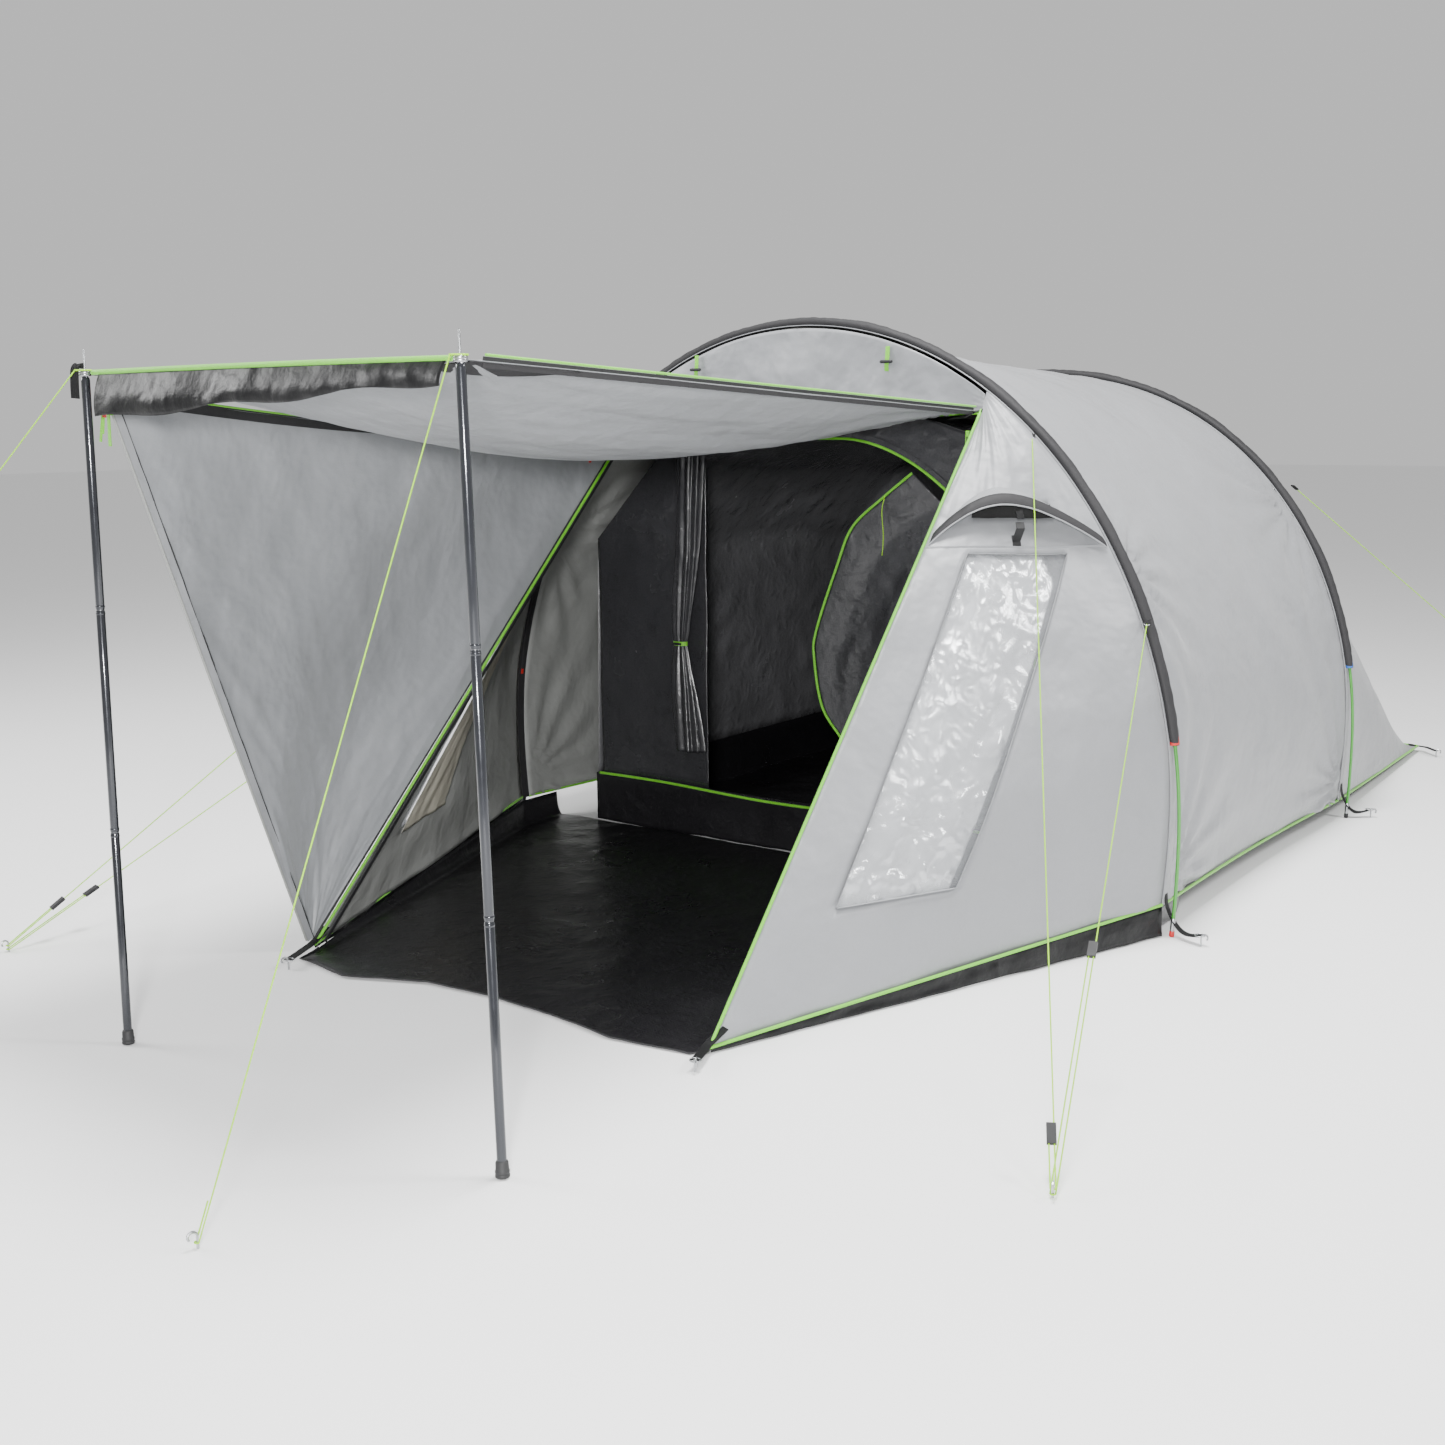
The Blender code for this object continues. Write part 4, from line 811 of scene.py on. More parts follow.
@functools.lru_cache(maxsize=None)
def jamb_u(edge, t):
    """Where a window jamb, straight from sill to head seen from the side, crosses a level."""
    low = wall_at(WINDOW_LOW_U[edge], WINDOW_Z[0])
    high = wall_at(WINDOW_HIGH_U[edge], WINDOW_Z[1])
    y = low[1] + (high[1] - low[1]) * t
    z = WINDOW_Z[0] + (WINDOW_Z[1] - WINDOW_Z[0]) * t
    left, right = 0.0, 1.0
    for _ in range(24):
        middle = (left + right) / 2
        if wall_at(middle, z)[1] < y:
            left = middle
        else:
            right = middle
    return (left + right) / 2


def slanted_u(column, z):
    """Column lines that follow the slanting sides of the window: 1 and 4 are its jambs."""
    t = round(min(max((z - WINDOW_Z[0]) / (WINDOW_Z[1] - WINDOW_Z[0]), 0), 1), 4)
    left, right = jamb_u(0, t), jamb_u(1, t)
    if column <= 1:
        return left * column
    if column <= 4:
        return left + (right - left) * (column - 1) / 3
    return right + (1 - right) * (column - 4) / 2


def wall_lift(u, z):
    """The wall's gentle folds, shared by everything sewn to it."""
    soft = 0.0140 * ground_noise(u * 2.2 + z * 0.8, z * 2.6 - u, 61)
    across = u * (0.45 + 0.25 * z)
    crease = (wrinkles(across, z, 1.25, 0.15, 0.0140, 62) + wrinkles(across, z, 0.35, 0.20, 0.0090, 65)
              + wrinkles(across, z, 1.9, 0.09, 0.0045, 68, 0.0))
    lower = 0.0060 * ground_noise(u * 9.0, z * 2.0, 63) * np.exp(-np.maximum(z, 0) / 0.18)
    return (soft + crease + lower) * swell(u, 0.06)


def wall_grid(columns, levels, out=0.0, extra=None):
    grid = np.zeros((len(levels), len(columns), 3))
    for i, z in enumerate(levels):
        for j, c in enumerate(columns):
            u = slanted_u(c, z)
            shift = out + float(wall_lift(u, z)) + (extra(i, j) if extra is not None else 0.0)
            grid[i, j] = wall_at(u, z, shift)
    return grid


def build_walls(m):
    cols = np.concatenate([np.linspace(0, 1, 9)[:-1], np.linspace(1, 4, 31)[:-1],
                           np.linspace(4, 6, 25)])
    below = np.linspace(0, 1, 7)[:-1]
    stops = (WALL_EVEN_Z[0], *WINDOW_Z, *VENT_Z, WALL_EVEN_Z[1])
    middle = np.concatenate([np.linspace(a, b, n)[:-1] for a, b, n in
                             zip(stops, stops[1:], (6, 37, 7, 4, 9))] + [[WALL_EVEN_Z[1]]])
    above = np.linspace(0, 1, 9)[1:]
    count = len(below) + len(middle) + len(above)
    wall = np.zeros((count, len(cols), 3))
    for j, c in enumerate(cols):
        row = 0
        for f in below:
            u = slanted_u(c, WINDOW_Z[0])
            line, _ = wall_line(u)
            v = f * float(np.interp(WALL_EVEN_Z[0], line[:, 2], TABLE_V))
            wall[row, j] = wall_at(u, share=v, out=float(wall_lift(u, WALL_EVEN_Z[0] * f)))
            row += 1
        for z in middle:
            u = slanted_u(c, z)
            wall[row, j] = wall_at(u, z, float(wall_lift(u, z)))
            row += 1
        for f in above:
            u = slanted_u(c, WALL_EVEN_Z[1])
            line, _ = wall_line(u)
            low = float(np.interp(WALL_EVEN_Z[1], line[:, 2], TABLE_V))
            wall[row, j] = wall_at(u, share=low + (1 - low) * f,
                                   out=float(wall_lift(u, WALL_EVEN_Z[1])) * (1 - 0.8 * f))
            row += 1

    def keep(i, j):
        k = i - len(below)
        if not 0 <= k < len(middle) - 1:
            return True
        z = (middle[k] + middle[k + 1]) / 2
        c = (cols[j] + cols[j + 1]) / 2
        window = WINDOW_Z[0] < z < WINDOW_Z[1] and 1 < c < 4
        vent = VENT_Z[0] < z < VENT_Z[1] and 1 < c < 4
        return not (window or vent)

    for side, sign in (("right", 1), ("left", -1)):
        turned = flipped(wall, sign)
        sheet("porch_side_" + side, turned, [m["fly_under"], m["fly"]][::sign],
              replaces=("porch_wall_" + side,), keep=keep, thickness=0.0009,
              held="stretched")
        # Window: clear film, a seam tape round it and the crinkled curtain behind.
        wc = np.linspace(0.97, 4.03, 44)
        wz = np.linspace(WINDOW_Z[0] - 0.010, WINDOW_Z[1] + 0.010, 56)
        film = wall_grid(wc, wz, -0.0018,
                         lambda i, j: 0.0010 * float(ground_noise(i * 0.35, j * 0.25, 71)))
        sheet("window_film_" + side, flipped(film, sign), [m["film"]],
              replaces=("window_" + side,), thickness=0.0006, held="stretched")
        cc, cz = np.linspace(0.93, 4.04, 70), np.linspace(WINDOW_Z[0] - 0.014, WINDOW_Z[1] + 0.016, 90)
        crinkle = (0.0040 * folds(np.arange(90)[:, None] * 0.11, np.arange(70)[None] * 0.10, 72)
                   + 0.0045 * ground_noise(np.arange(90)[:, None] * 0.05,
                                           np.arange(70)[None] * 0.07, 73))
        blind = wall_grid(cc, cz, -0.0130, lambda i, j: float(crinkle[i, j]))

        def blind_keep(i, j):
            # Its top corner has slipped off and its jamb edge stands a little open.
            up, over = (i + 0.5) / 89, (j + 0.5) / 69
            slack = 0.020 + 0.010 * math.sin(up * 9)
            return over < 0.985 - slack - max(0.0, up - 0.90) * 2.2

        sheet("window_blind_" + side, flipped(blind, sign),
              [m["beige"], m["silver"]][::sign],
              replaces=("curtain_" + side,), keep=blind_keep, thickness=0.0008,
              held="hung")
        frame_line = []
        for c, z in ([(c, WINDOW_Z[0]) for c in np.linspace(1, 4, 24)]
                     + [(4, z) for z in np.linspace(WINDOW_Z[0], WINDOW_Z[1], 40)[1:]]
                     + [(c, WINDOW_Z[1]) for c in np.linspace(4, 1, 24)[1:]]
                     + [(1, z) for z in np.linspace(WINDOW_Z[1], WINDOW_Z[0], 40)[1:]]):
            u = slanted_u(c, z)
            frame_line.append(wall_at(u, z, 0.0008 + float(wall_lift(u, z))))
        tube("window_seam_" + side, flipped(frame_line, sign), 0.0058, m["fly"], sides=10,
             flat=0.16, reference=flipped([(0.55, -0.75, 0.1)], sign)[0], ends=False)
        # A level seam across the wall above the window.
        seam = [wall_at(u, 1.034, 0.0004 + float(wall_lift(u, 1.034)))
                for u in np.linspace(0.01, 0.99, 60)]
        strap("wall_seam_" + side, flipped(seam, sign), 0.009, 0.0014, m["fly"], (0, 0, 1))

        # Vent hood: cloth drawn out over a stiffened charcoal brow, open underneath.
        steps = 90
        brow, cover = np.zeros((8, steps, 3)), np.zeros((14, steps, 3))
        for j, s in enumerate(np.linspace(0.003, 0.997, steps)):
            arch = math.sin(math.pi * s) ** 0.8
            u = 0.035 + (0.985 - 0.035) * s
            z = HOOD_BASE_Z - 0.004 - 0.016 * s + 0.080 * arch
            wave = 0.0010 * float(ground_noise(s * 14, 0.3, 81))
            for i, level in enumerate(np.linspace(0, 1, 8)):
                out = 0.004 + 0.058 * arch + 0.003 * math.sin(math.pi * level) + wave
                brow[i, j] = wall_at(u, z + 0.026 * level, out)
            for i, level in enumerate(np.linspace(0, 1, 14)):
                out = 0.002 + (0.058 * arch + wave) * (1 - level) ** 1.6
                out += 0.003 * float(folds(s * 5, level * 2, 82)) * math.sin(math.pi * level)
                cover[i, j] = wall_at(u, z + 0.025 + (0.004 + 0.042 * arch) * level, out)
        sheet("vent_brow_" + side, flipped(brow, sign), [m["charcoal"]],
              replaces=("vent_hood_" + side,), thickness=0.0014, held="stretched")
        sheet("vent_cover_" + side, flipped(cover, sign), [m["fly"]], thickness=0.0009,
              held="stretched")
        tube("vent_rim_" + side, flipped(brow[0] + [0, 0, -0.001], sign), 0.0022, m["fly"],
             sides=10)
        pivot = np.array([0.8066, -0.2226, 1.1040])
        tab = [pivot + [0.003, 0.000, 0.007], pivot + [0.000, 0.001, 0.015],
               pivot + [-0.004, 0.003, 0.026]]
        strap("vent_prop_tab_" + side, flipped(smooth_path(tab, 8), sign), 0.020, 0.0016,
              m["webbing"], flipped([(0.6, 0.8, 0)], sign)[0])
        mesh_c = np.linspace(0.96, 4.04, 50)
        mesh_z = np.linspace(VENT_Z[0] - 0.006, VENT_Z[1] + 0.006, 10)
        sheet("vent_mesh_" + side, flipped(wall_grid(mesh_c, mesh_z, -0.0022), sign), [m["mesh"]],
              thickness=0.0005, held="stretched")

        # Lime piping on the open zip edge, with the zip's teeth beside it.
        edge = np.array([wall_at(0.0, share=v, out=float(wall_lift(0.0, v)))
                         for v in np.linspace(0.0, 1.0, 90)])
        tube("wall_edge_piping_" + side, flipped(edge + [0.0012, -0.0012, 0.001], sign), PIPING_RADIUS,
             m["lime"], sides=10)
        inner = np.array([wall_at(0.024, share=v, out=-0.009) for v in np.linspace(0.0, 1.0, 60)])
        strap("wall_zip_tape_" + side, flipped(inner, sign), 0.020, 0.0022, m["charcoal"],
              flipped([(0.36, 0.93, 0.0)], sign)[0])
        # Webbing at the front ground corner, out to its peg.
        corner = np.array([0.645 * sign, -1.366, 0.014])
        peg = np.array([0.680, -1.466, 0.026] if sign > 0 else [-0.575, -1.515, 0.026])
        path = smooth_path([corner + [0.01 * sign, 0.045, 0.035], corner + [0, -0.004, 0.010],
                            (corner + peg) / 2 + [0, 0, 0.004], peg], 16)
        strap("corner_webbing_" + side, path, 0.022, 0.0018, m["webbing"], (1, 0.2, 0))
        ring = [peg + np.array([0.012 * math.cos(t), 0.012 * math.sin(t) + 0.002, 0.0])
                for t in np.linspace(0, 2 * math.pi, 25)]
        tube("corner_ring_" + side, ring, 0.0016, m["steel"], sides=8, ends=False)
        # Black skirt between the wall's hem and the groundsheet.
        hem = np.array([wall_at(u, share=0.0) for u in np.linspace(0.0, 1.0, 80)])
        drop = np.linspace(0, 1, 8)[:, None]
        skirt = np.zeros((8, 80, 3))
        base_z = np.clip(hem[:, 2], 0.006, None)
        skirt[..., :] = hem[None]
        skirt[..., 2] = base_z[None] * (1 - drop) + 0.004 * drop
        wave = 0.006 * ground_noise(np.linspace(0, 14, 80)[None], drop * 1.2, 91)
        skirt[..., 0] += wave * 0.8 + 0.004 * drop
        skirt[..., 1] += -wave * 0.6 * 0.4
        sheet("wall_skirt_" + side, flipped(skirt, sign), [m["black"]],
              thickness=0.0008, held="hung")
        hem_pipe = hem + np.array([0.0015, -0.0010, 0.001])
        tube("wall_hem_piping_" + side, flipped(hem_pipe, sign), PIPING_RADIUS, m["lime"],
             sides=10)


# ---- canopy and windbreak -------------------------------------------------------------------
def canopy_grid(rows, cols, stop=0.9955):
    return np.array([[canopy_point(a, s) for a in np.linspace(-1, 1, cols)]
                     for s in np.linspace(0, stop, rows)])


def build_canopy(m):
    rows, cols = 110, 130
    grid = canopy_grid(rows, cols)
    s = np.linspace(0, 1, rows)[:, None]
    a = np.linspace(-1, 1, cols)[None, :]
    # Long folds run from hoop to poles, gathered towards the corners that carry the load.
    spread = np.clip(np.sin(math.pi * s), 0, 1) ** 0.5
    long_folds = (0.0200 * folds(a * 3.6 + 0.35 * s, s * 0.6, 101)
                  + 0.0100 * folds(a * 8 - 0.5 * s, s * 0.8 + 4, 102)) * spread
    sway = 0.0120 * ground_noise(a * 2.0, s * 2.0, 103) * spread
    fan = 0.0
    for a0, s0 in ((-1, 1), (1, 1), (-1, 0), (1, 0)):
        da, ds = (a - a0) * 0.58, (s - s0) * 1.95
        far = np.hypot(da, ds)
        fan = fan + 0.0080 * np.sin(np.arctan2(da, ds + 1e-6) * 15) * np.exp(-(far / 0.42) ** 2) \
            * np.clip(far / 0.07, 0, 1)
    wide_m, long_m = a * 0.58 + 0 * s, s * 1.95 + 0 * a
    cross = wrinkles(long_m, wide_m, 0.18, 0.09, 0.0090, 106) + wrinkles(
        long_m, wide_m, -0.22, 0.14, 0.0110, 109)
    relief = (long_folds + sway + fan + cross * spread) * np.clip(np.minimum(s, 1 - s) / 0.03, 0.05, 1) \
        * np.clip((1 - np.abs(a)) / 0.05, 0.15, 1)
    sheet("canopy_panel", grid, [m["canopy"]], replaces=("canopy",),
          relief=relief, held="stretched", thickness=0.0010)
    for side in ("right", "left"):
        edge = 1.0 if side == "right" else -1.0
        # Load-bearing corner: doubled charcoal cloth and a steel eyelet.
        patch = np.array([[canopy_point(edge * (1 - 0.24 * q * p), 0.9965 - 0.160 * (1 - q) * p
                                        - 0.012 * q) for q in np.linspace(0, 1, 14)]
                          for p in np.linspace(0, 1, 12)])
        patch[..., 2] -= 0.0022
        sheet("canopy_corner_" + side, patch, [m["charcoal"]], thickness=0.0014,
              held="stretched")
        top = np.array([*POLE_TOP[side], CANOPY_FRONT_Z])
        for level, name in ((0.0022, "top"), (-0.0022, "under")):
            ring = [top + np.array([0.0118 * math.cos(t), 0.0118 * math.sin(t), level])
                    for t in np.linspace(0, 2 * math.pi, 41)]
            tube(f"canopy_eyelet_{name}_{side}", ring, 0.0034, m["steel"], sides=12,
                 flat=0.42, reference=(0, 0, 1), ends=False)
        # Rear corner where zip, canopy and windbreak meet on the hoop.
        rear = np.array([(ZIP_TOP[0] - 0.003) * edge, ZIP_TOP[1] + 0.004, ZIP_TOP[2] - 0.003])
        tri = np.array([[rear + np.array([-0.105 * edge * q * p, -0.090 * (1 - q) * p,
                                          0.004 - 0.020 * p * (1 - q) - 0.026 * q * p])
                         for q in np.linspace(0, 1, 10)] for p in np.linspace(0, 1, 10)])
        sheet("canopy_rear_corner_" + side, tri, [m["charcoal"]], thickness=0.0014,
              held="stretched")
    front = np.array([canopy_point(x, 0.9965) for x in np.linspace(-0.965, 0.965, 90)])
    tube("canopy_front_piping", front + [0, -0.002, 0.002], 0.0056, m["lime"], sides=10)
    rear = np.array([canopy_point(x, 0.002) for x in np.linspace(-1, 1, 90)])
    strap("canopy_rear_zip", rear + [0, -0.001, -0.003], 0.024, 0.0026, m["charcoal"], (0, 1, -0.3))
    tube("canopy_rear_piping", rear + [0, -0.014, -0.006], 0.0028, m["lime"], sides=10)
    for side, edge in (("right", 1.0), ("left", -1.0)):
        line = np.array([canopy_point(edge, x) for x in np.linspace(0.02, 0.97, 60)])
        strap("canopy_side_zip_" + side, line + [-0.004 * edge, 0, -0.0015], 0.020, 0.0024,
              m["charcoal"], (0.2, 0, 1))
        teeth = line + [0.004 * edge, 0, 0.011]
        tube("canopy_side_piping_" + side, teeth, 0.0026, m["lime"], sides=8)
    # The skirt hangs along the front, deeper at the left.
    rows, cols = 16, 130
    skirt = np.zeros((rows, cols, 3))
    for j, x in enumerate(np.linspace(-0.925, 0.930, cols)):
        top = canopy_point(x, 0.9955)
        drop = 0.100 - 0.030 * (x + 1) + 0.006 * math.sin(9 * x)
        for i, level in enumerate(np.linspace(0, 1, rows)):
            flare = 0.008 * float(ground_noise(x * 8, level * 1.2, 111)) * level
            skirt[i, j] = top + np.array([0, -0.004 - 0.020 * math.sin(math.pi * level * 0.6)
                                          + flare, 0.002 - drop * level])
    sheet("canopy_front_skirt", skirt, [m["black"]],
          replaces=("canopy_skirt",), held="hung", thickness=0.0009)


def build_windbreak(m):
    rows, cols = 110, 120
    grid = np.array([[windbreak_point(u, v) for u in np.linspace(0, 1, cols)]
                     for v in np.linspace(0, 1, rows)])
    v = np.linspace(0, 1, rows)[:, None]
    u = np.linspace(0, 1, cols)[None, :]
    # Drapes sweep from the hoop's top corner down to the ground corner.
    sweep = u * 1.05 + v * 0.55
    drape = 0.0260 * ground_noise(sweep * 2.6, v * 0.7 - u * 0.6, 121)
    fine = 0.0075 * folds(sweep * 4.2, v * 0.9 - u * 0.8, 122)
    down = 0.0040 * folds(u * 5.0, v * 0.8, 123) * v
    wide_m, down_m = u * 1.9 + 0 * v, v * 1.5 + 0 * u
    pull = (wrinkles(wide_m, down_m, 0.75, 0.30, 0.0200, 124, 0.4)
            + wrinkles(wide_m, down_m, 1.00, 0.24, 0.0080, 127) + wrinkles(
                wide_m, down_m, -0.5, 0.25, 0.0110, 130, 0.0)) * np.clip(1.2 - 0.8 * v, 0, 1)
    relief = (drape + fine + down + pull) * np.clip(np.minimum(np.minimum(u, 1 - u) / 0.06,
                                                        np.minimum(v, 1 - v) / 0.05), 0.06, 1)
    sheet("windbreak_panel", grid, [m["screen"]], replaces=("windbreak",), relief=relief,
          held="hung")
    free = np.array([windbreak_point(0.0, t) for t in np.linspace(0.0, 1.0, 90)])
    strap("windbreak_zip_tape", free + [0.001, 0.008, 0], 0.022, 0.0026, m["fly"],
          (0.1, 1, 0.3))
    tube("windbreak_edge", free + [0, -0.005, 0], 0.0034, m["fly_under"], sides=10)
    tube("windbreak_zip_coil", free + [0.0012, 0.018, 0], 0.0024, m["charcoal"], sides=8,
         wobble=0.25)
    top = np.array([windbreak_point(t, 0.004) for t in np.linspace(0.0, 1.0, 90)])
    strap("windbreak_top_tape", top + [0.001, 0, -0.003], 0.026, 0.0022, m["charcoal"],
          (0, 0, 1))
    tube("windbreak_top_piping", top + [0.002, 0, 0.011], 0.0024, m["lime"], sides=8)
    rear = np.array([windbreak_point(1.0, t) for t in np.linspace(0.0, 1.0, 70)])
    tube("windbreak_rear_edge", rear, 0.0034, m["charcoal"], sides=10)
    # Straps at the pole end, and the toggle that holds the sheet half way up.
    head = windbreak_point(0.0, 0.0)
    for k, (drop, mat) in enumerate(((0.000, "red"), (0.035, "lime_webbing"),
                                     (0.052, "lime_webbing"))):
        path = smooth_path([head + [0.004, -0.004 - 0.004 * k, 0.020 - drop],
                            head + [0.014 - 0.008 * k, -0.014, -0.010 - drop],
                            head + [0.010 - 0.010 * k, -0.016, -0.055 - drop]], 12)
        strap(f"windbreak_pull_{k}", path, 0.010 if k == 0 else 0.006, 0.0016, m[mat], (1, 0.3, 0))
    side = windbreak_point(0.93, 0.055)
    strap("windbreak_tie", smooth_path([side + [0.010, -0.004, 0.030], side + [0.016, -0.006, 0.0],
                                        side + [0.012, -0.006, -0.040]], 10), 0.010, 0.0016,
          m["red"], (0, 1, 0))
    tube("windbreak_toggle", [side + [0.020, -0.020, -0.002], side + [0.020, -0.017, -0.002],
                              side + [0.020, 0.010, -0.002], side + [0.020, 0.013, -0.002]],
         [0.003, 0.0042, 0.0042, 0.003], m["plastic"])


# ---- awning poles ---------------------------------------------------------------------------
def build_awning_poles(m):
    r = AWNING_POLE_RADIUS
    for side in ("right", "left"):
        foot = np.array([*POLE_FOOT[side], 0.0])
        head = np.array([*POLE_TOP[side], CANOPY_FRONT_Z - r - 0.004])
        axis = head - foot
        length = float(np.linalg.norm(axis))
        axis /= length
        body = side + "_awning_pole"

        def lathe(name, steps, mat, node=None):
            path = [foot + axis * h for h, _ in steps]
            if node and node.endswith("bottom"):
                path[0] = foot + np.array([0, 0, 0.0014])
            return tube(f"{name}_{side}", path, [w for _, w in steps], m[mat], body,
                        (node,) if node else (), sides=32)

        cuts = (length * 0.335, length * 0.670)
        node = "awning_pole_" + side
        lathe("pole_bottom", [(0.028, r * 0.9), (0.029, r), (cuts[0] - 0.012, r),
                              (cuts[0] - 0.0095, r * 0.90)], "pole", node + "_bottom")
        lathe("pole_middle", [(cuts[0] - 0.009, r * 0.90), (cuts[0] - 0.0065, r),
                              (cuts[1] - 0.012, r), (cuts[1] - 0.0095, r * 0.90)],
              "pole", node + "_middle")
        lathe("pole_top", [(cuts[1] - 0.009, r * 0.90), (cuts[1] - 0.0065, r), (length - 0.002, r),
                           (length + r * 0.35, r * 0.94), (length + r * 0.62, r * 0.76),
                           (length + r * 0.84, r * 0.50), (length + r * 0.97, r * 0.26)],
              "pole", node + "_top")
        lathe("pole_spike", [(length + r * 0.90, 0.0022), (length + r + 0.048, 0.0021),
                             (length + r + 0.054, 0.0014), (length + r + 0.056, 0.0005)],
              "steel")
        for k, cut in enumerate(cuts):
            # The swaged joint: a rolled bead each side of the gap and the spigot in it.
            lathe(f"pole_spigot_{k}", [(cut - 0.012, r * 0.84), (cut - 0.006, r * 0.84)], "steel")
            lathe(f"pole_bead_low_{k}", [(cut - 0.0195, r), (cut - 0.018, r * 1.07),
                                         (cut - 0.0155, r * 1.07), (cut - 0.014, r)], "pole")
            lathe(f"pole_bead_high_{k}", [(cut - 0.0045, r), (cut - 0.003, r * 1.07),
                                          (cut - 0.0005, r * 1.07), (cut + 0.001, r)], "pole")
        lathe("pole_shoe", [(0.0014, r * 1.30), (0.003, r * 1.46), (0.007, r * 1.48),
                            (0.009, r * 1.36), (0.011, r * 1.46), (0.015, r * 1.46),
                            (0.017, r * 1.34), (0.030, r * 1.30), (0.034, r * 1.10),
                            (0.0345, r * 0.9)], "rubber")
        # The webbing bunch where the guy line is looped over the spike.
        top = np.array([*POLE_TOP[side], CANOPY_FRONT_Z + 0.006])
        pull = np.array([*PEG_AT["pole_" + side], 0.0]) - np.array([top[0], top[1], 0.0])
        pull /= np.linalg.norm(pull)
        wide = np.array([-pull[1], pull[0], 0.0])
        loop = [top + pull * (0.0034 + 0.0174 * math.cos(t)) + wide * 0.0132 * math.sin(t)
                + [0, 0, 0.0010] for t in np.linspace(0, 2 * math.pi, 41)]
        tube("pole_guy_loop_" + side, loop, 0.0016, m["lime_cord"], sides=10)
        bunch = smooth_path([top + [-0.030, 0.010, 0.006], top + [-0.022, 0.002, 0.014],
                             top + [-0.027, -0.006, 0.004], top + [-0.029, -0.008, -0.028],
                             top + [-0.033, -0.006, -0.058]], 22)
        if side == "left":
            strap("pole_head_webbing_" + side, bunch, 0.020, 0.0022, m["webbing"], (1, 0.4, 0.2))


# ---- groundsheet and inner tent -------------------------------------------------------------
def build_groundsheet(m):
    rows, half = 170, 60
    spill_x = np.array([0.635, 0.631, 0.613, 0.405, 0.202, 0, -0.202, -0.405, -0.613, -0.631, -0.635])
    spill = np.array([0, 0.006, 0.030, 0.060, 0.024, 0.012, 0.030, 0.118, 0.080, 0.012, 0])
    grid = np.zeros((rows, 2 * half + 1, 3))
    low_x = hoop_point("front", WALL_LOW_SHARE, INSET)[0] - 0.012
    for i, reach_y in enumerate(np.linspace(FRONT_CORNER[1], INNER_FRONT_Y - 0.006, rows)):
        share = min((reach_y - FRONT_CORNER[1]) / (-0.030 - FRONT_CORNER[1]), 1.0)
        edge_x = (FRONT_CORNER[0] - 0.010) + (low_x - FRONT_CORNER[0] + 0.010) * share
        edge_y = reach_y
        rise = 0.006 + 0.074 * share
        for j in range(2 * half + 1):
            t = (j - half) / half
            reach = abs(t)
            if reach < 0.90:
                x, z = (edge_x - 0.022) * reach / 0.90, 0.0014
            else:
                f = (reach - 0.90) / 0.10
                x = edge_x - 0.022 + 0.022 * (1 - (1 - f) ** 2)
                z = 0.0014 + (rise - 0.0014) * f ** 1.5
            x = math.copysign(x, t)
            push = float(np.interp(x, spill_x[::-1], spill[::-1])) * max(0.0, 1 - share / 0.10)
            grid[i, j] = (x, edge_y - push, z)
    xy = grid[..., 0], grid[..., 1]
    flat_part = np.clip((0.90 - np.abs(np.linspace(-1, 1, 2 * half + 1))[None]) / 0.06, 0, 1)
    bumps = (0.0085 * np.clip(folds(xy[0] * 2.8 + xy[1], xy[1] * 2.4, 131) + 0.20, 0, 1)
             + 0.0040 * np.clip(folds(xy[0] * 7, xy[1] * 7 - xy[0] * 3, 132) + 0.18, 0, 1)
             + 0.0030 * np.clip(ground_noise(xy[0] * 4, xy[1] * 4, 133), 0, 1))
    grid[..., 2] += bumps * (0.15 + 0.85 * flat_part)
    sheet("porch_floor", grid, [m["ground"]], replaces=("groundsheet",),
          thickness=0.0010, held="laid")
    front = grid[0] + np.array([0, -0.001, 0.0018])
    tube("porch_floor_hem", front, 0.0022, m["charcoal"], sides=8)


def inner_section(share, floor_half, shoulder_half, shoulder_z, top_z, base_z, y):
    corners = np.array([(floor_half, base_z), (shoulder_half, shoulder_z),
                        (shoulder_half * 0.70, shoulder_z + (top_z - shoulder_z) * 0.68),
                        (shoulder_half * 0.33, top_z - (top_z - shoulder_z) * 0.07),
                        (0.0, top_z)])
    stops = np.array([0.0, 0.40, 0.66, 0.86, 1.0])
    half = 1 - abs(2 * share - 1)
    # A little smoothing keeps the hung cloth from breaking at the cuts.
    near = [max(0.0, min(1.0, half + d)) for d in (-0.03, 0.0, 0.03)]
    x = float(np.mean([np.interp(h, stops, corners[:, 0]) for h in near]))
    z = float(np.mean([np.interp(h, stops, corners[:, 1]) for h in near]))
    if half in (0.0, 1.0):
        x, z = float(np.interp(half, stops, corners[:, 0])), float(np.interp(half, stops, corners[:, 1]))
    return np.array([x if share <= 0.5 else -x, y, z])


INNER_STATIONS = [
    (INNER_FRONT_Y + 0.004, 0.945, 0.925, 0.970, 1.400), (0.700, 0.945, 0.915, 0.940, 1.390),
    (1.300, 0.945, 0.905, 0.910, 1.370), (1.640, 0.945, 0.895, 0.870, 1.330),
    (2.100, 0.945, 0.890, 0.480, 0.800), (2.400, 0.940, 0.890, 0.280, 0.440),
    (2.636, 0.935, 0.900, 0.182, 0.196),
]
DOOR_LEFT, DOOR_RIGHT = -0.470, 0.700


def door_head(x):
    if x < 0.04:
        return 1.305
    reach = min((x - 0.04) / (DOOR_RIGHT - 0.04), 1.0)
    return 0.555 + 0.750 * (1 - reach ** 1.8) ** (1 / 1.8)


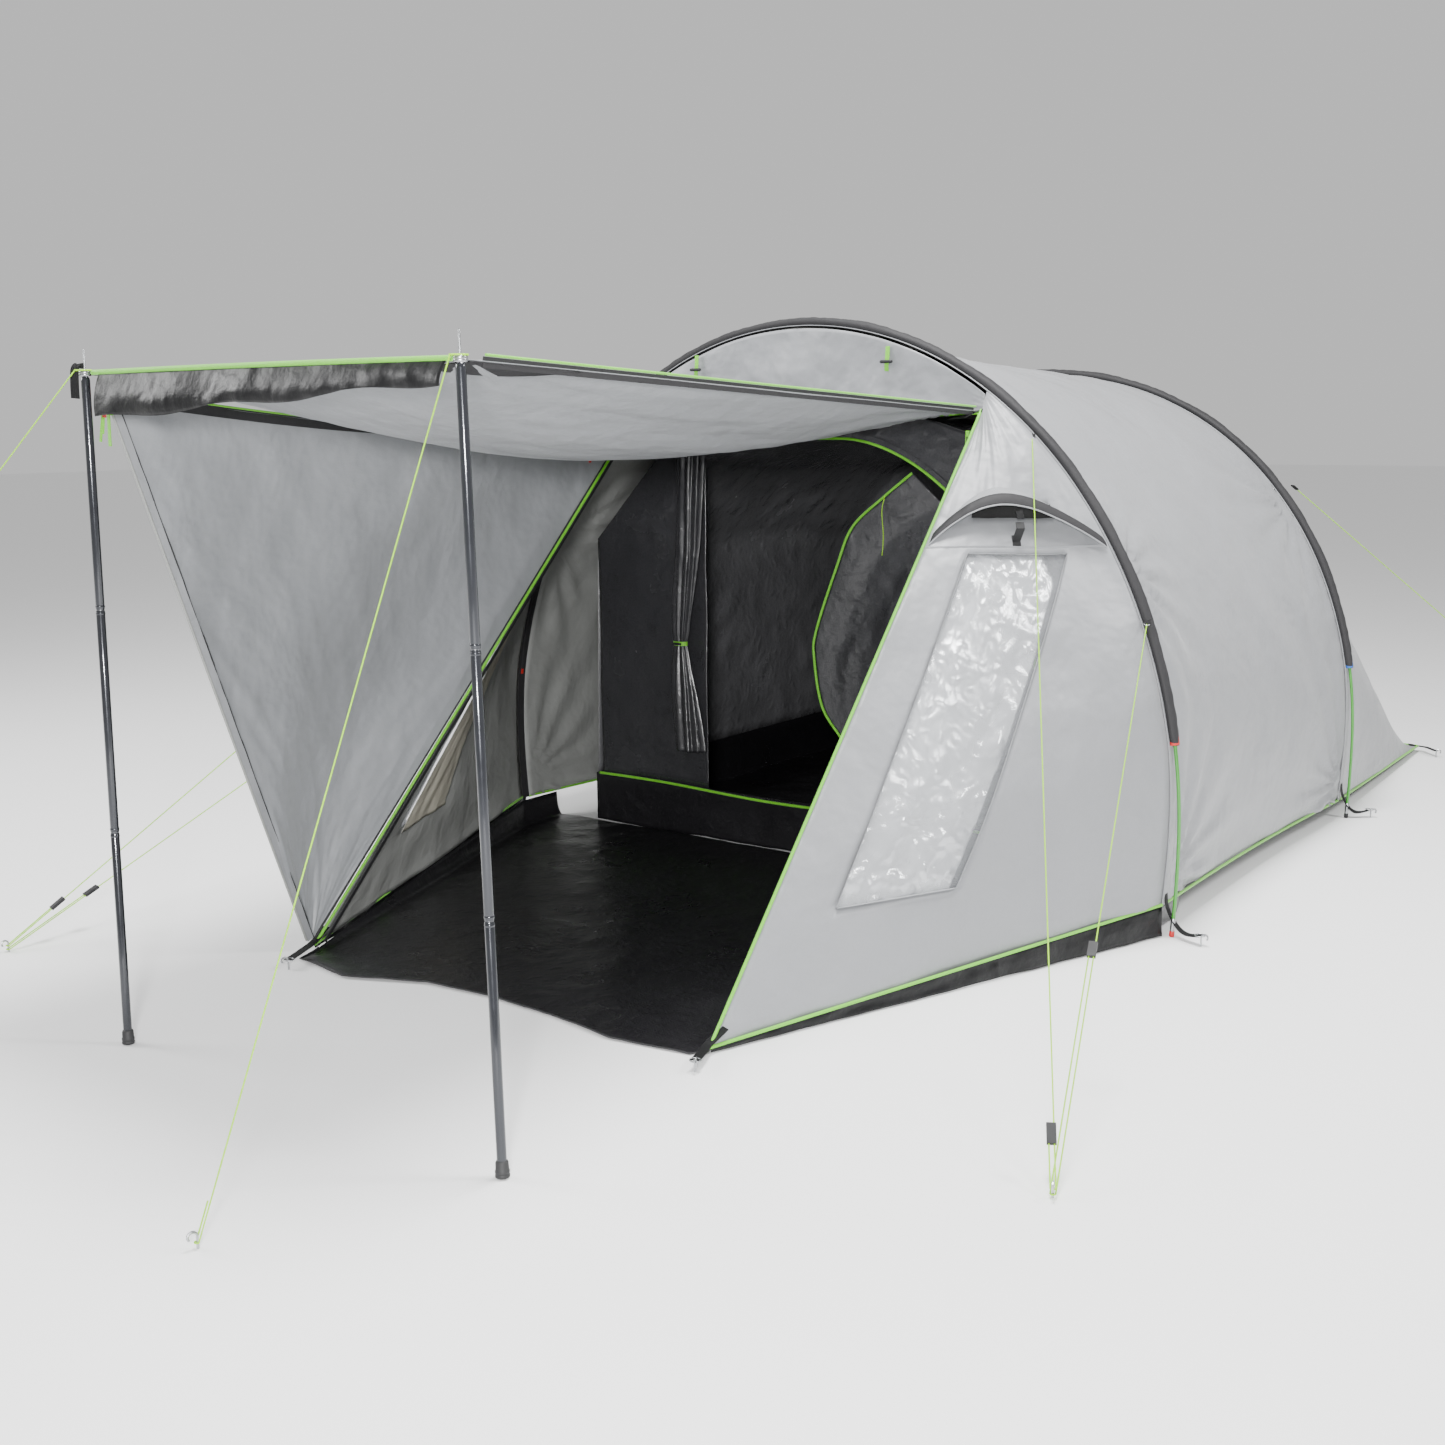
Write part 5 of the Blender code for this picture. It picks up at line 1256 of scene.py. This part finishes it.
def front_outline(x):
    corners = [(0, 1.400), (0.305, 1.370), (0.6475, 1.2624), (0.925, 0.970)]
    return float(np.interp(abs(x), [c[0] for c in corners], [c[1] for c in corners]))


def build_inner(m):
    rows, cols = 130, 150
    stations = np.array(INNER_STATIONS)
    ys = np.linspace(stations[0, 0], stations[-1, 0], rows)
    grid = np.zeros((rows, cols, 3))
    for i, y in enumerate(ys):
        values = [np.interp(y, stations[:, 0], stations[:, k]) for k in range(1, 5)]
        for j, s in enumerate(np.linspace(0, 1, cols)):
            grid[i, j] = inner_section(s, *values, INNER_SILL_Z + 0.002, y)
    a = np.linspace(0, 1, rows)[:, None]
    s = np.linspace(0, 1, cols)[None, :]
    sag = (0.022 * (folds(s * 12.0, a * 2.5, 141) + 0.6) + 0.014 * ground_noise(s * 7, a * 4, 142)
           + 0.010 * folds(s * 18, a * 6, 143))
    relief = -np.abs(sag) * swell(a, 0.05) * np.clip(np.minimum(s, 1 - s) / 0.04, 0.2, 1)
    # The body gets the brighter copy of the inner cloth: painted light on the walls inside.
    sheet("bedroom_body", grid, [m["inner_painted_light"]], replaces=("inner_body",),
          relief=relief, held="hung")
    xs = np.unique(np.concatenate([np.linspace(-0.920, 0.920, 150), [DOOR_LEFT, DOOR_RIGHT]]))
    levels = 60
    grid = np.zeros((len(xs), levels, 3))
    low = INNER_SILL_Z + 0.002
    door_rows = 36
    for i, x in enumerate(xs):
        top = front_outline(x)
        head = door_head(x) if DOOR_LEFT <= x <= DOOR_RIGHT else (
            min(0.555 if x > 0 else 1.205, top - 0.06))
        zs = np.concatenate([np.linspace(low, head, door_rows)[:-1],
                             np.linspace(head, top, levels - door_rows + 1)])
        for j, z in enumerate(zs):
            ripple = 0.0055 * float(folds(x * 5, z * 4, 151)) + 0.006 * float(
                ground_noise(x * 4, z * 3, 152))
            grid[i, j] = (x, INNER_FRONT_Y + max(-0.004, min(ripple, 0.006)), z)
    i0 = int(np.argmin(np.abs(xs - DOOR_LEFT)))
    i1 = int(np.argmin(np.abs(xs - DOOR_RIGHT)))
    sheet("bedroom_front", grid, [m["inner"]], replaces=("inner_front_wall",),
          keep=lambda i, j: not (i0 <= i < i1 and j < door_rows - 1), held="hung")
    # Lime zip round the door's head and the lime line along its sill.
    arch = [(DOOR_LEFT, z) for z in np.linspace(0.20, 1.295, 30)]
    arch += [(x, door_head(x) + 0.002) for x in np.linspace(DOOR_LEFT, DOOR_RIGHT, 80)]
    arch = np.array([(x, INNER_FRONT_Y - 0.006, z) for x, z in arch])
    tube("door_zip_head", arch[30:], PIPING_RADIUS, m["lime"], sides=10)
    strap("door_zip_tape", arch[30:] + [0, 0.002, 0.010], 0.022, 0.0016, m["inner"], (0, 0, 1))
    jamb = [(DOOR_RIGHT, INNER_FRONT_Y - 0.006, z) for z in np.linspace(0.18, 0.555, 12)]
    tube("door_zip_right", jamb, PIPING_RADIUS, m["lime"], sides=10)
    sill = np.array([(x, INNER_FRONT_Y - 0.006, INNER_SILL_Z + 0.004 - 0.012 * math.sin(
        math.pi * (x + 0.95) / 1.9) + 0.004 * math.sin(7 * x)) for x in np.linspace(-0.93, 0.93, 120)])
    tube("door_sill_piping", sill, 0.0046, m["lime"], sides=10)

    # Bathtub floor: a crinkled tray whose front wall leans and sags a little.
    x0, y0, y1, high = 0.950, INNER_FRONT_Y - 0.001, 2.640, INNER_SILL_Z
    across = np.concatenate([[-x0] * 9, np.linspace(-x0, x0, 120), [x0] * 9])
    lift_x = np.concatenate([np.linspace(high, 0.018, 9), np.zeros(120), np.linspace(0.018, high, 9)])
    along = np.concatenate([[y0] * 10, np.linspace(y0, y1, 120), [y1] * 9])
    lift_y = np.concatenate([np.linspace(high, 0.016, 10), np.zeros(120), np.linspace(0.016, high, 9)])
    xg, yg = np.meshgrid(across, along)
    zg = np.maximum(lift_x[None, :], lift_y[:, None])
    on_floor = zg < 1e-6
    zg = zg + 0.0016
    zg += np.where(on_floor, 0.014 * np.clip(folds(xg * 2.6, yg * 2.6, 161) + 0.22, 0, 1)
                   + 0.006 * np.clip(folds(xg * 6, yg * 6, 162) + 0.15, 0, 1)
                   + 0.008 * np.clip(ground_noise(xg * 2.5, yg * 2.5, 163), 0, 1), 0)
    ripple = 0.005 * ground_noise(xg * 7, zg * 6 + yg, 164) * np.clip(zg / 0.10, 0, 1) * (~on_floor)
    yg = yg + np.where(lift_y[:, None] > 0, np.abs(ripple) * np.sign(1.4 - yg), 0)
    grid = np.stack([xg, yg, zg], 2)
    sheet("bedroom_floor", grid, [m["ground"]], replaces=("inner_floor",),
          thickness=0.0010, held="laid")

    # The door curtain: cloth gathered into pleats and tied half way down.
    heights = [1.300, 1.200, 1.000, 0.800, 0.690, 0.652, 0.600, 0.500, 0.400, 0.300]
    widths = [0.050, 0.045, 0.041, 0.036, 0.029, 0.021, 0.030, 0.043, 0.049, 0.050]
    hs = np.linspace(1.300, 0.300, 130)
    ws = np.interp(-hs, [-h for h in heights], widths)
    turn = np.linspace(0, 2 * math.pi, 90, endpoint=False)
    grid = np.zeros((len(hs), 91, 3))
    for i, (h, w) in enumerate(zip(hs, ws)):
        cx = -0.500 - 0.052 * math.exp(-((h - 0.645) / 0.30) ** 2)
        pleat = 1 + 0.17 * np.sin(turn * 9 + 2.2 * math.sin(h * 7)) \
            + 0.10 * ground_noise(turn * 1.6, np.full_like(turn, h * 5), 171)
        ring = np.stack([cx + w * pleat * np.cos(turn), 0.115 + w * 0.52 * pleat * np.sin(turn),
                         np.full_like(turn, h)], 1)
        grid[i, :90], grid[i, 90] = ring, ring[0]
    curtain = sheet("door_curtain_gathered", grid, [m["inner"]],
                    replaces=("door_curtain",), thickness=0.0010, held="gathered")
    weld(curtain)
    tie = [(-0.552 + 0.0262 * math.cos(t), 0.115 + 0.0142 * math.sin(t), 0.652)
           for t in np.linspace(0, 2 * math.pi, 40)]
    strap("door_curtain_tie", tie, 0.013, 0.0018, m["lime_webbing"], (0, 0, 1))
    tube("door_curtain_toggle", [(-0.566, 0.094, 0.652), (-0.563, 0.094, 0.652),
                                 (-0.538, 0.094, 0.652), (-0.535, 0.094, 0.652)],
         [0.003, 0.0042, 0.0042, 0.003], m["plastic"])

    # The second flap hangs loose with its lime edge pulled aside.
    edge = smooth_path([(x, 0, z) for x, z in ((0.250, 1.205), (0.150, 1.130), (0.045, 1.040),
                                               (-0.010, 0.918), (-0.085, 0.714), (-0.092, 0.626),
                                               (-0.062, 0.476), (0.010, 0.380))], 90)
    grid = np.zeros((90, 90, 3))
    for i, (x_free, _, z_free) in enumerate(edge):
        for j, k in enumerate(np.linspace(0, 1, 90)):
            x = x_free + (0.735 - x_free) * k
            z = z_free + (min(z_free, 0.560 + 0.15 * z_free) - z_free) * k
            y = 0.205 + 0.030 * math.sin(3 * math.pi * k) * (0.3 + k)
            y += 0.012 * float(folds(k * 5 + i * 0.01, i * 0.016, 181)) * min(1.0, 6 * k + 0.1)
            grid[i, j] = (x, y, z)
    sheet("door_flap_hanging", grid, [m["inner"]], replaces=("door_flap",), held="hung")
    tube("door_flap_zip", grid[:, 0] + [0, -0.004, 0], PIPING_RADIUS, m["lime"], sides=10)
    cord_path = smooth_path([(0.16, 0.198, 1.138), (0.155, 0.190, 1.09), (0.162, 0.188, 1.02),
                             (0.158, 0.188, 0.96)], 24)
    pull = tube("door_pull", cord_path, 0.0013, m["lime_cord"], sides=8)


# ---- guy tabs, runners and pegs ------------------------------------------------------------
# CAD nodes that keep their shape: start of the name, material and width of the softened edges.
FITTING_LOOKS = (
    (("peg_",), "steel", 0.0006),
    (("runner_", "vent_strut_"), "plastic", 0.0006),
    (("zip_slider_",), "lime_webbing", 0.0004),
)


def build_fittings(m):
    for side, sign in (("right", 1), ("left", -1)):
        for name, at, peg in (("front_low", FRONT_GUY_LOW, PEG_AT["guy_" + side]),
                              ("front_high", FRONT_GUY_HIGH, PEG_AT["guy_" + side]),
                              ("rear", REAR_GUY, PEG_AT["rear_" + side])):
            centre = np.array(at) * np.array([sign, 1, 1])
            towards = np.array([*peg, 0.0]) - centre
            towards /= np.linalg.norm(towards)
            path = [centre + towards * d for d in (0.006, 0.016, 0.026, 0.031)]
            strap(f"guy_tab_{name}_{side}", path, 0.017, 0.0034, m["webbing"],
                  np.cross(towards, [0, 0, 1]))
            ring = centre + towards * 0.029
            across = np.cross(towards, [0, 0, 1.0])
            across /= np.linalg.norm(across)
            loop = [ring + across * 0.0075 * math.cos(t) + towards * 0.0055 * math.sin(t)
                    for t in np.linspace(0, 2 * math.pi, 25)]
            tube(f"guy_ring_{name}_{side}", loop, 0.0013, m["steel"], sides=8, ends=False)
    for name, node in list(bpy.data.objects.items()):
        for starts, mat, width in FITTING_LOOKS:
            if name.startswith(starts) and name in NODE_NAMES:
                node.data.materials.clear()
                node.data.materials.append(m[mat])
                soften(node, width)


def soften(node, width):
    edge = node.modifiers.new("edge", "BEVEL")
    edge.width = width
    edge.segments = 2
    edge.limit_method = "ANGLE"
    edge.angle_limit = math.radians(35)


# ---- guy lines ------------------------------------------------------------------------------
def line_side(start, end):
    axis = (end - start) / np.linalg.norm(end - start)
    side = np.cross(axis, np.array([0.0, 0.0, 1.0]))
    return axis, side / np.linalg.norm(side)


def guy_route(start, peg_at, height, back_to):
    """The same route as the CAD tube: to the peg, round its shank and back beside itself."""
    around = np.array([peg_at[0], peg_at[1], height])
    _, side = line_side(start, around)
    end = around - side * LEG_GAP / 2
    length = float(np.linalg.norm(end - start))
    axis = (end - start) / length
    points = [start + axis * length * t for t in np.linspace(0, 1, 14)]
    level = axis * np.array([1.0, 1.0, 0.0])
    level = level / np.linalg.norm(level)
    for turn in np.linspace(0, math.pi, 7)[1:]:
        points.append(around - side * (LEG_GAP / 2) * math.cos(turn)
                      + level * (LEG_GAP / 2) * math.sin(turn))
    stop = start + axis * length * back_to + side * LEG_GAP
    back = points[-1]
    points += [back + (stop - back) * t for t in np.linspace(0.1, 1, 5)]
    return points


def off_sleeve(point, peg_at, distance=0.030):
    point = np.array(point, float)
    towards = np.array([*peg_at, 0.0]) - point
    return point + towards / np.linalg.norm(towards) * distance


def make_guy(name, start, peg_at, height, share, colour):
    points = guy_route(start, peg_at, height, share)
    curve = bpy.data.curves.new("line_" + name, "CURVE")
    curve.dimensions = "3D"
    curve.bevel_depth = CORD_RADIUS
    curve.bevel_resolution = 3
    curve.use_fill_caps = True
    spline = curve.splines.new("POLY")
    spline.points.add(len(points) - 1)
    for k, point in enumerate(points):
        spline.points[k].co = (*point, 1.0)
    curve.materials.append(colour)
    obj = bpy.data.objects.new("line_" + name, curve)
    bpy.context.scene.collection.objects.link(obj)
    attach(obj, "tent")
    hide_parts("guy_" + name)
    return obj, points


def build_guys(colour):
    for side, sign in (("right", 1), ("left", -1)):
        flip = np.array([sign, 1, 1])
        at = PEG_AT["guy_" + side]
        shares = (0.66, 0.95) if side == "right" else (0.87, 0.93)
        make_guy("front_" + side + "_low", off_sleeve(np.array(FRONT_GUY_LOW) * flip, at), at,
                 0.008, shares[0], colour)
        make_guy("front_" + side + "_high", off_sleeve(np.array(FRONT_GUY_HIGH) * flip, at), at,
                 0.018, shares[1], colour)
        at = PEG_AT["rear_" + side]
        start = off_sleeve(np.array(REAR_GUY) * flip, at)
        length = float(np.linalg.norm(np.array([*at, 0.0]) - start))
        make_guy("rear_" + side, start, at, 0.012, 1 - 0.07 / length, colour)
        at = PEG_AT["pole_" + side]
        top = np.array([*POLE_TOP[side], CANOPY_FRONT_Z + 0.006])
        towards = np.array([*at, 0.0]) - top
        towards[2] = 0.0
        start = top + towards / np.linalg.norm(towards) * 0.021
        length = float(np.linalg.norm(np.array([*at, 0.0]) - start))
        make_guy("pole_" + side, start, at, 0.012, 1 - 0.07 / length, colour)


def main():
    build_stage()
    m = make_materials()
    build_hoops(m)
    build_fly(m)
    build_walls(m)
    build_canopy(m)
    build_windbreak(m)
    build_awning_poles(m)
    build_groundsheet(m)
    build_inner(m)
    build_fittings(m)
    build_guys(m["lime_cord"])


main()
